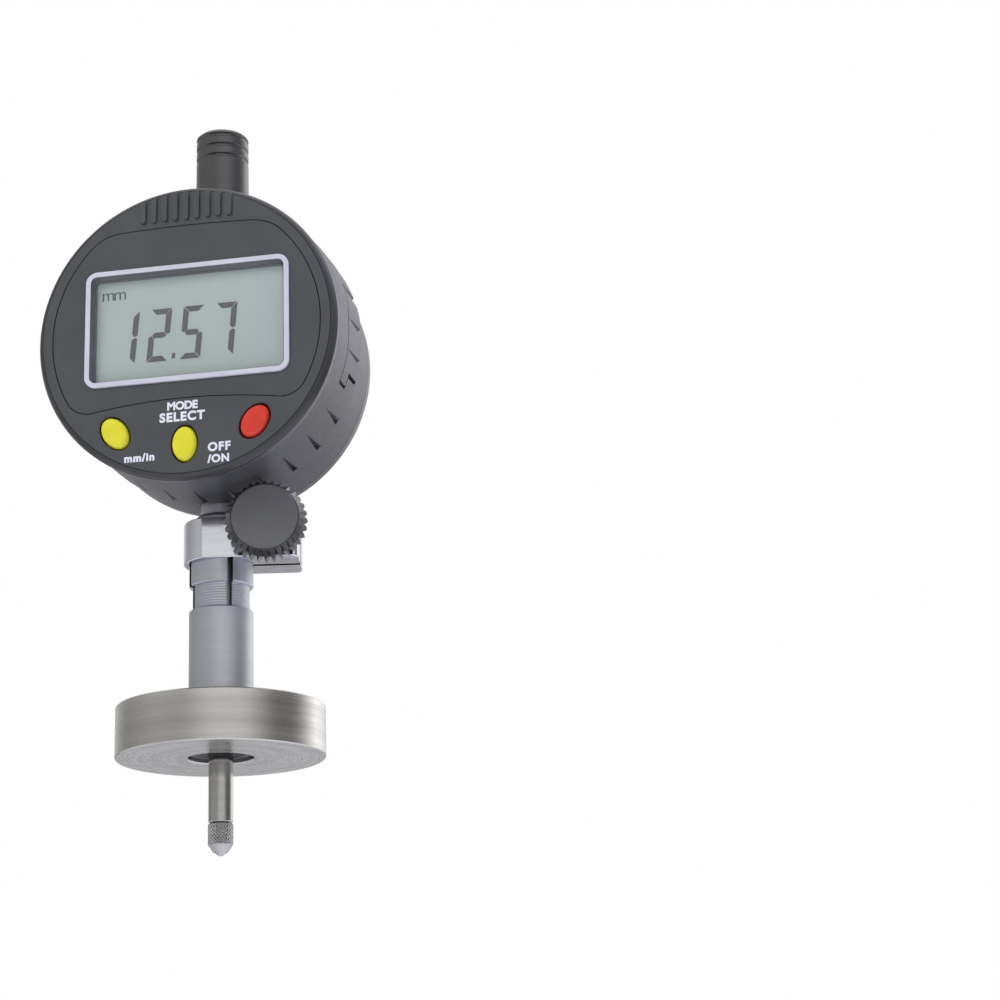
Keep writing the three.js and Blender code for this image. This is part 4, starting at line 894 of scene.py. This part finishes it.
def makeDustCap(look):
    low, high = boxOf("dust_cap")
    top, wall, groove, half, floor = high.z, look["wall"], look["groove"], look["half"], look["floor"]
    profile = [(look["nipple"], low.z), (look["foot"], low.z, 0.15)]
    for i in reversed(range(look["grooves"])):
        middle = top - look["first"] - i * look["pitch"]
        profile += [(wall, middle - half, 0.1), (groove, middle - floor, 0.12),
                    (groove, middle + floor, 0.12), (wall, middle + half, 0.1)]
    roof, pin, inner, neckTop = top - look["roof"], look["pin"], look["inner"], look["nippleTop"]
    profile += [(wall, top - look["bend"], 0.5), (look["crown"], top, 0.5), (pin, top), (pin, roof),
                (inner, roof), (inner, neckTop), (look["nipple"], neckTop)]
    shell = turnedUp("cap_shell", softened(profile), 160, ring=True)
    plug = turnedUp("cap_middle", [(pin + 0.3, roof), (pin + 0.3, top)], 64)
    combined(shell, [plug], "UNION")
    fitted(shell, "head", capAbs, ["dust_cap"], sharpDeg=40)


makeDustCap(cap)

# Spindle: ground rod with a socket for the contact
spindle = {"radius": 2.35, "edge": 0.3, "socket": 1.3, "socketDepth": 3.6}


def makeSpindle(look):
    low, high = boxOf("spindle")
    r, edge, socket = look["radius"], look["edge"], look["socket"]
    piece = turnedUp("spindle_rod", softened([
        (socket, low.z + look["socketDepth"]), (socket, low.z), (r - edge, low.z, 0.08),
        (r, low.z + edge, 0.08), (r, high.z - edge, 0.08), (r - edge, high.z)], closed=False), 128)
    fitted(piece, "plunger", groundSteel, ["spindle"])


makeSpindle(spindle)

# Contact: a grip with a diamond knurl, drawn a little coarser than it is so that it shows, and a ball
contact = {"radius": 2.42, "grip": 4.1, "nose": 1.35, "knurls": 22, "rows": 40, "knurlDepth": 0.24,
           "knurlSlope": 1.6, "stud": 1.2, "studLength": 3.5, "seat": 1.15, "seatDepth": 1.6, "ball": 1.1}


def makeContact(look):
    low, high = boxOf("contact_point")
    r, grip, nose, seat, count = take(look, "radius grip nose seat knurls")
    top = high.z - look["studLength"] - 0.1
    foot = top - grip
    steps = count * 8
    loops = [circleLoop(look["stud"], high.z, steps), circleLoop(look["stud"], top, steps),
             circleLoop(r - 0.25, top, steps)]
    for row in range(look["rows"] + 1):
        z = top - 0.12 - (grip - 0.24) * row / look["rows"]
        rise = (top - z) / (fullTurn * r / count)
        loop = []
        for i in range(steps):
            turn = i / steps * count
            groove = min(abs(2 * ((turn + rise) % 1) - 1), abs(2 * ((turn - rise) % 1) - 1))
            reach = r - look["knurlDepth"] * max(0, 1 - groove * look["knurlSlope"])
            loop.append((*around(reach, fullTurn * i / steps), z))
        loops.append(loop)
    loops += [circleLoop(size, z, steps) for size, z in (
        (r - 0.2, foot), (nose + 0.05, low.z + 0.03), (nose - 0.05, low.z), (seat, low.z),
        (seat, low.z + look["seatDepth"]))]
    piece = moved(skinned("contact_grip", loops), onSpindle)
    fitted(piece, "plunger", groundSteel, ["contact_point"], sharpDeg=35)


makeContact(contact)


def makeBall(look, steps=24):
    low, high = boxOf("contact_ball")
    middle, r = (low.z + high.z) / 2, look["ball"]
    profile = [(r * math.sin(math.pi * k / steps), middle - r * math.cos(math.pi * k / steps))
               for k in range(1, steps)]
    piece = turnedUp("contact_tip_ball", profile, 64)
    fitted(piece, "plunger", groundSteel, ["contact_ball"], sharpDeg=60)


makeBall(contact)
print("spindle made")

# Back cover, its screw holes sunk
cover = {"radius": 28.6, "inside": 27.0, "front": -2.2, "edge": 0.4, "hole": 1.1, "sink": 2.0,
         "sinkRim": 2.15, "sinkFloor": -1.15}


def makeBackCover(look):
    r, inside, front, edge = take(look, "radius inside front edge")
    hole, sink = look["hole"], look["sink"]
    piece = turnedBack("back_plate", softened([
        (inside, front), (r, front, 0.1), (r, -edge, 0.12), (r - edge, 0, 0.12), (inside, 0)],
        closed=False), 360)
    cuts = []
    for x, z in coverScrewPlaces():
        cuts.append(turnedBack("through", [(hole, 1), (hole, -4)], 32, x=x, z=z))
        cuts.append(turnedBack("sink", [(look["sinkRim"], 0.1), (sink, -0.1), (sink, look["sinkFloor"])], 48,
                               x=x, z=z))
    combined(piece, cuts)
    fitted(piece, "head", caseAbs, ["back_cover"], sharpDeg=24)


makeBackCover(cover)

# Cover screws: pan heads with a cross slot, each left at its own angle
coverScrew = {"shank": 1.0, "end": -8.5, "head": 1.9, "under": -1.05, "over": -0.35, "crown": 1.5,
              "top": -0.15, "slot": 0.2, "slotReach": 1.1, "slotFloor": -0.75, "turn": 25, "turnStep": 40}


def makeCoverScrews(look):
    head, under, top, slot, reach, deep = take(look, "head under top slot slotReach slotFloor")
    for i, (x, z) in enumerate(coverScrewPlaces()):
        piece = turnedBack("cover_screw_head_%d" % (i + 1), softened([
            (look["shank"], look["end"]), (look["shank"], under), (head, under), (head, look["over"], 0.12),
            (look["crown"], top, 0.15), (0.6, top)], closed=False), 64, x=x, z=z)
        drive = [block("drive", (-reach, deep, -slot), (reach, 0.2, slot)),
                 block("drive", (-slot, deep, -reach), (slot, 0.2, reach))]
        turn = spun(look["turn"] + look["turnStep"] * i)
        combined(piece, [moved(part, shift(x, 0, z) @ turn) for part in drive])
        fitted(piece, "head", groundSteel, ["cover_screw_%d" % (i + 1)], edge=0.03)


makeCoverScrews(coverScrew)
print("back made")

# CAD nodes that keep their own shape
carried = (
    (whiteAbs, "display_holder"), (matRubber, "key_mat"), (satinChrome, "battery_cell"),
    (stripRubber, "contact_strip_top contact_strip_bottom"), (capAbs, "board_header battery_tray"),
    (boardGlass, "main_board reader_board scale_strip"), (castMetal, "main_frame scale_carriage"),
    (turnedBrass, "battery_contact_minus battery_contact_plus lower_bush upper_bush"),
    (groundSteel, "reader_screw_1 reader_screw_2 guide_pin spring_pin return_spring spring_post"),
)
for material, names in carried:
    for node in names.split():
        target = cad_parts[node]
        target.data.materials.clear()
        target.data.materials.append(material)

# Lens: clear acrylic, so thin that it only adds a faint sheen
lens = {"roughness": (0.05, 0.1), "ior": 1.49, "alpha": 0.07, "tones": ("#cfd8d6", "#dfe6e4"), "dust": 4.0,
        "edge": 0.08}


def makeLens(look):
    material, tree, surface, place = newMaterial("clear acrylic lens")
    dust = noiseAt(tree, place, look["dust"], 3.0)
    tone = rampBetween(tree, dust, [hexColour(tone) for tone in look["tones"]])
    feed(tree, surface, {"Base Color": tone, "Roughness": spread(tree, dust, *look["roughness"]),
                         "IOR": look["ior"], "Alpha": look["alpha"]})
    low, high = boxOf("window_lens")
    layers = [(0, high.y), (0, low.y + look["edge"]), (look["edge"], low.y)]
    plate = faceward("window_glass_plate", layers, windowOutline(-0.1))
    fitted(plate, "head", material, ["window_lens"])


makeLens(lens)

# Display: the cell fills the window behind the lens, with slanted seven-segment digits on it
display = {"front": -29.75, "reading": "12.57", "first": -12.2, "pitch": 6.5, "middle": 0.06,
           "halfWidth": 1.54, "halfHeight": 4.78, "bar": 1.13, "gap": 0.12, "slant": 5.0, "ink": 0.04,
           "dot": [(-0.78, -0.2), (-0.1, -0.2), (0.0, 0.85), (-0.68, 0.85)]}
segmentsOf = {"1": "bc", "2": "abged", "5": "afgcd", "7": "abc"}


def makeCell():
    low, high = boxOf("display_panel")
    cell = block("display_cell", low, high)
    front = faceward("front", [(0, low.y + 0.5), (0, display["front"])],
                     windowOutline(-window["ledge"] - 0.04))
    combined(cell, [front], "UNION")
    fitted(cell, "head", displayCell, ["display_panel"], edge=0.03)


makeCell()


def segmentShapes(look):          # one bar of each kind, and these mirrored
    w, h, half, gap = look["halfWidth"], look["halfHeight"], look["bar"] / 2, look["gap"] / 2
    outer, inner = w + half, w - half
    level = [(-outer + gap * 2, h + half), (-inner + gap, h - half), (inner - gap, h - half),
             (outer - gap * 2, h + half)]
    upright = [(outer, h + half - gap * 2), (inner, h - half - gap), (inner, half + gap), (w, gap * 1.5),
               (outer, half * 0.6)]
    middle = [(-w + gap * 2, 0), (-inner, -half), (inner, -half), (w - gap * 2, 0), (inner, half),
              (-inner, half)]
    shapes = {}
    for part, shape, signX, signZ in (("a", level, 1, 1), ("d", level, 1, -1), ("g", middle, 1, 1),
                                      ("b", upright, 1, 1), ("c", upright, 1, -1), ("f", upright, -1, 1),
                                      ("e", upright, -1, -1)):
        shapes[part] = [(x * signX, z * signZ) for x, z in shape]
    return shapes


def inkPlate(outline, front, thick):
    area = sum(a[0] * b[1] - b[0] * a[1] for a, b in zip(outline, outline[1:] + outline[:1]))
    loop = outline if area > 0 else list(reversed(outline))
    return skinned("ink", [[(x, depth, z) for x, z in loop] for depth in (front, front - thick)])


def makeDigits(look):
    slope = math.tan(math.radians(look["slant"]))
    shapes = segmentShapes(look)
    plates = []
    column = look["first"]
    for sign in look["reading"]:
        if sign == ".":
            left, foot = column - look["pitch"] / 2, look["middle"] - look["halfHeight"]
            outlines = [[(left + x, foot + z) for x, z in look["dot"]]]
        else:
            outlines = [[(column + x + z * slope, look["middle"] + z) for x, z in shapes[part]]
                        for part in segmentsOf[sign]]
            column += look["pitch"]
        plates += [inkPlate(outline, look["front"], look["ink"]) for outline in outlines]
    fitted(joined("display_digits", plates), "head", displayInk)


makeDigits(display)

# Printed words: plain functions of the keys and the unit, sized to their places
labels = [
    {"name": "label_unit", "words": "mm", "low": (-17.25, 8.1), "high": (-12.5, 9.75), "bold": 0.0,
     "at": display["front"], "slot": "display", "material": displayInk},
    {"name": "label_mode", "words": "MODE", "low": (-3.4, -16.0), "high": (2.6, -14.3)},
    {"name": "label_select", "words": "SELECT", "low": (-4.9, -18.3), "high": (4.7, -16.4)},
    {"name": "label_units", "words": "mm/in", "low": (-11.75, -25.6), "high": (-5.45, -23.95)},
    {"name": "label_off", "words": "OFF", "low": (4.6, -24.8), "high": (9.9, -23.0)},
    {"name": "label_on", "words": "/ON", "low": (4.5, -27.05), "high": (8.75, -25.4)},
]
lettersBold = 0.045


def lettering(text):
    bpy.context.view_layer.update()
    graph = bpy.context.evaluated_depsgraph_get()
    mesh = bpy.data.meshes.new_from_object(text.evaluated_get(graph))
    return mesh, [v.co.x for v in mesh.vertices], [v.co.y for v in mesh.vertices]


def makeLabel(look):
    curve = bpy.data.curves.new(look["name"], "FONT")
    curve.body = look["words"]
    curve.size = 1.0
    curve.offset = look.get("bold", lettersBold)
    curve.extrude = 0.01
    text = placed(look["name"] + "_curve", curve)
    (left, foot), (right, top) = look["low"], look["high"]
    widths = []
    for spacing in (1.0, 1.2):        # letters keep their shape, and the spacing fills the width
        curve.space_character = spacing
        mesh, xs, ys = lettering(text)
        widths.append((max(xs) - min(xs)) * (top - foot) / (max(ys) - min(ys)))
        bpy.data.meshes.remove(mesh)
    room = min(0.2 * (right - left - widths[0]) / (widths[1] - widths[0]), 0.16)
    curve.space_character = 1.0 + room
    mesh, xs, ys = lettering(text)
    bpy.data.objects.remove(text)
    bpy.data.curves.remove(curve)
    scale, front = (top - foot) / (max(ys) - min(ys)), look.get("at", face["front"]) - 0.02
    for vertex in mesh.vertices:
        x, y, thick = vertex.co
        across, up = left + (x - min(xs)) * scale, foot + (y - min(ys)) * scale
        vertex.co = Vector((across, front - thick * 2, up)) * mm
    piece = placed(look["name"], mesh)
    fitted(piece, "head", look.get("material", labelInk))


for label in labels:
    makeLabel(label)
print("display and labels made")

# Camera at the photograph's place
view = {"place": (0.13019, -0.42431, -0.15783), "right": (0.9821, 0.1857, -0.03169),
        "up": (0.08288, -0.27484, 0.95791), "back": (0.16917, -0.94339, -0.28531), "lens": 82.82}
lensData = bpy.data.cameras.new("photo_camera")
lensData.lens = view["lens"]
lensData.sensor_width = 36.0
lensData.clip_start = 0.01
camera = placed("photo_camera", lensData)
axes = [Vector(view[key]).normalized() for key in ("right", "up", "back")]
camera.matrix_world = Matrix.Translation(view["place"]) @ Matrix(axes).transposed().to_4x4()
bpy.context.scene.camera = camera

# Plain pale floor, which the camera sees paler than it lights the object
floorLook = {"reach": 4.0, "height": -0.24, "glow": 0.68, "colour": "#f2f2f0", "roughness": 0.9}
reach, height = floorLook["reach"], floorLook["height"]
floorData = bpy.data.meshes.new("floor")
floorData.from_pydata([(x * reach, y * reach, height) for x, y in ((-1, -1), (1, -1), (1, 1), (-1, 1))], [],
                      [(0, 1, 2, 3)])
floor = placed("floor", floorData)
floorMaterial, floorTree, floorSurface, floorPlace = newMaterial("pale matt floor")
floorPath = addNode(floorTree, "ShaderNodeLightPath")
floorGlow = addNode(floorTree, "ShaderNodeMapRange", {"Value": floorPath.outputs["Is Camera Ray"],
                                                      "To Min": 0.0, "To Max": floorLook["glow"]})
feed(floorTree, floorSurface, {
    "Base Color": hexColour(floorLook["colour"]), "Roughness": floorLook["roughness"],
    "Emission Color": (1, 1, 1, 1), "Emission Strength": floorGlow.outputs["Result"]})
floorData.materials.append(floorMaterial)

# White surroundings: full strength for what sees them, and a share of it for what they light
surroundings = {"seen": 1.0, "lighting": 0.24}
world = bpy.data.worlds.new("white studio")
world.use_nodes = True
bpy.context.scene.world = world
sky = world.node_tree
path = addNode(sky, "ShaderNodeLightPath")
seen = path.outputs["Is Camera Ray"]
for ray in ("Is Glossy Ray", "Is Transmission Ray"):
    seen = addNode(sky, "ShaderNodeMath", {0: seen, 1: path.outputs[ray]}, operation="ADD",
                   use_clamp=True).outputs[0]
level = addNode(sky, "ShaderNodeMapRange", {"Value": seen, "To Min": surroundings["lighting"],
                                            "To Max": surroundings["seen"]})
feed(sky, sky.nodes["Background"], {"Strength": level.outputs["Result"], "Color": (1, 1, 1, 1)})

lamps = [
    {"name": "key_lamp", "place": (-0.45, -0.65, 0.55), "size": (0.45, 0.45), "power": 5.6},
    {"name": "fill_lamp", "place": (0.6, -0.55, -0.05), "size": (0.5, 0.7), "power": 0.5},
    {"name": "rim_lamp", "place": (0.45, 0.08, 0.62), "size": (0.35, 0.35), "power": 12.5,
     "tint": "#e6e6ff"},
]
for look in lamps:
    data = bpy.data.lights.new(look["name"], "AREA")
    data.shape = "RECTANGLE"
    data.size, data.size_y = look["size"]
    data.energy = look["power"]
    data.color = hexColour(look.get("tint", "#ffffff"))[:3]
    lamp = placed(look["name"], data)
    lamp.location = look["place"]
    lamp.rotation_euler = (-lamp.location).to_track_quat("-Z", "Y").to_euler()
    lamp.visible_glossy = False

# Light tent that only reflections see: its panels are brighter and darker round the object
tent = {"radius": 0.55, "foot": -0.235, "top": 0.6, "steps": 96, "low": 0.5, "lowEnd": -0.2,
        "highStart": 0.02,
        "panels": [(-180, 0.8), (-140, 0.8), (-104, 0.42), (-58, 0.66), (-22, 0.6), (8, 1.05), (40, 1.05),
                   (60, 0.6), (74, 0.26), (104, 0.26), (120, 0.9), (140, 2.1), (156, 1.6), (180, 0.8)]}


def makeTent(look):
    count = look["steps"]
    points, faces = [], []
    for i in range(count):
        y, x = around(look["radius"], fullTurn * i / count)
        points += [(x, y, look["foot"]), (x, y, look["top"])]
        j = (i + 1) % count
        faces.append((2 * i, 2 * j, 2 * j + 1, 2 * i + 1))
    mesh = bpy.data.meshes.new("light_tent")
    mesh.from_pydata(points, [], faces)
    material, tree, surface, place = newMaterial("light tent cloth")
    parts = addNode(tree, "ShaderNodeSeparateXYZ", {"Vector": place})
    front = addNode(tree, "ShaderNodeMath", {0: parts.outputs["Y"], 1: -1.0}, operation="MULTIPLY")
    turn = addNode(tree, "ShaderNodeMath", {0: parts.outputs["X"], 1: front.outputs[0]},
                   operation="ARCTAN2")
    share = addNode(tree, "ShaderNodeMapRange", {"Value": turn.outputs[0], "From Min": -math.pi,
                                                 "From Max": math.pi})
    ramp = addNode(tree, "ShaderNodeValToRGB", {"Fac": share.outputs["Result"]})
    top = max(level for angle, level in look["panels"])
    stops = ramp.color_ramp.elements
    while len(stops) < len(look["panels"]):
        stops.new(0.5)
    for stop, (angle, level) in zip(stops, look["panels"]):
        stop.position = (angle + 180) / 360
        stop.color = (level / top, level / top, level / top, 1)
    fall = addNode(tree, "ShaderNodeMapRange", {
        "Value": parts.outputs["Z"], "From Min": look["lowEnd"], "From Max": look["highStart"],
        "To Min": look["low"] * top, "To Max": top})
    glow = addNode(tree, "ShaderNodeEmission", {"Color": ramp.outputs["Color"],
                                                "Strength": fall.outputs["Result"]})
    tree.links.new(glow.outputs["Emission"], tree.nodes["Material Output"].inputs["Surface"])
    mesh.materials.append(material)
    piece = placed("light_tent", mesh)
    for ray in ("camera", "diffuse", "shadow", "transmission"):
        setattr(piece, "visible_" + ray, False)


makeTent(tent)

bpy.context.scene.view_settings.view_transform = "Standard"
print("studio made")
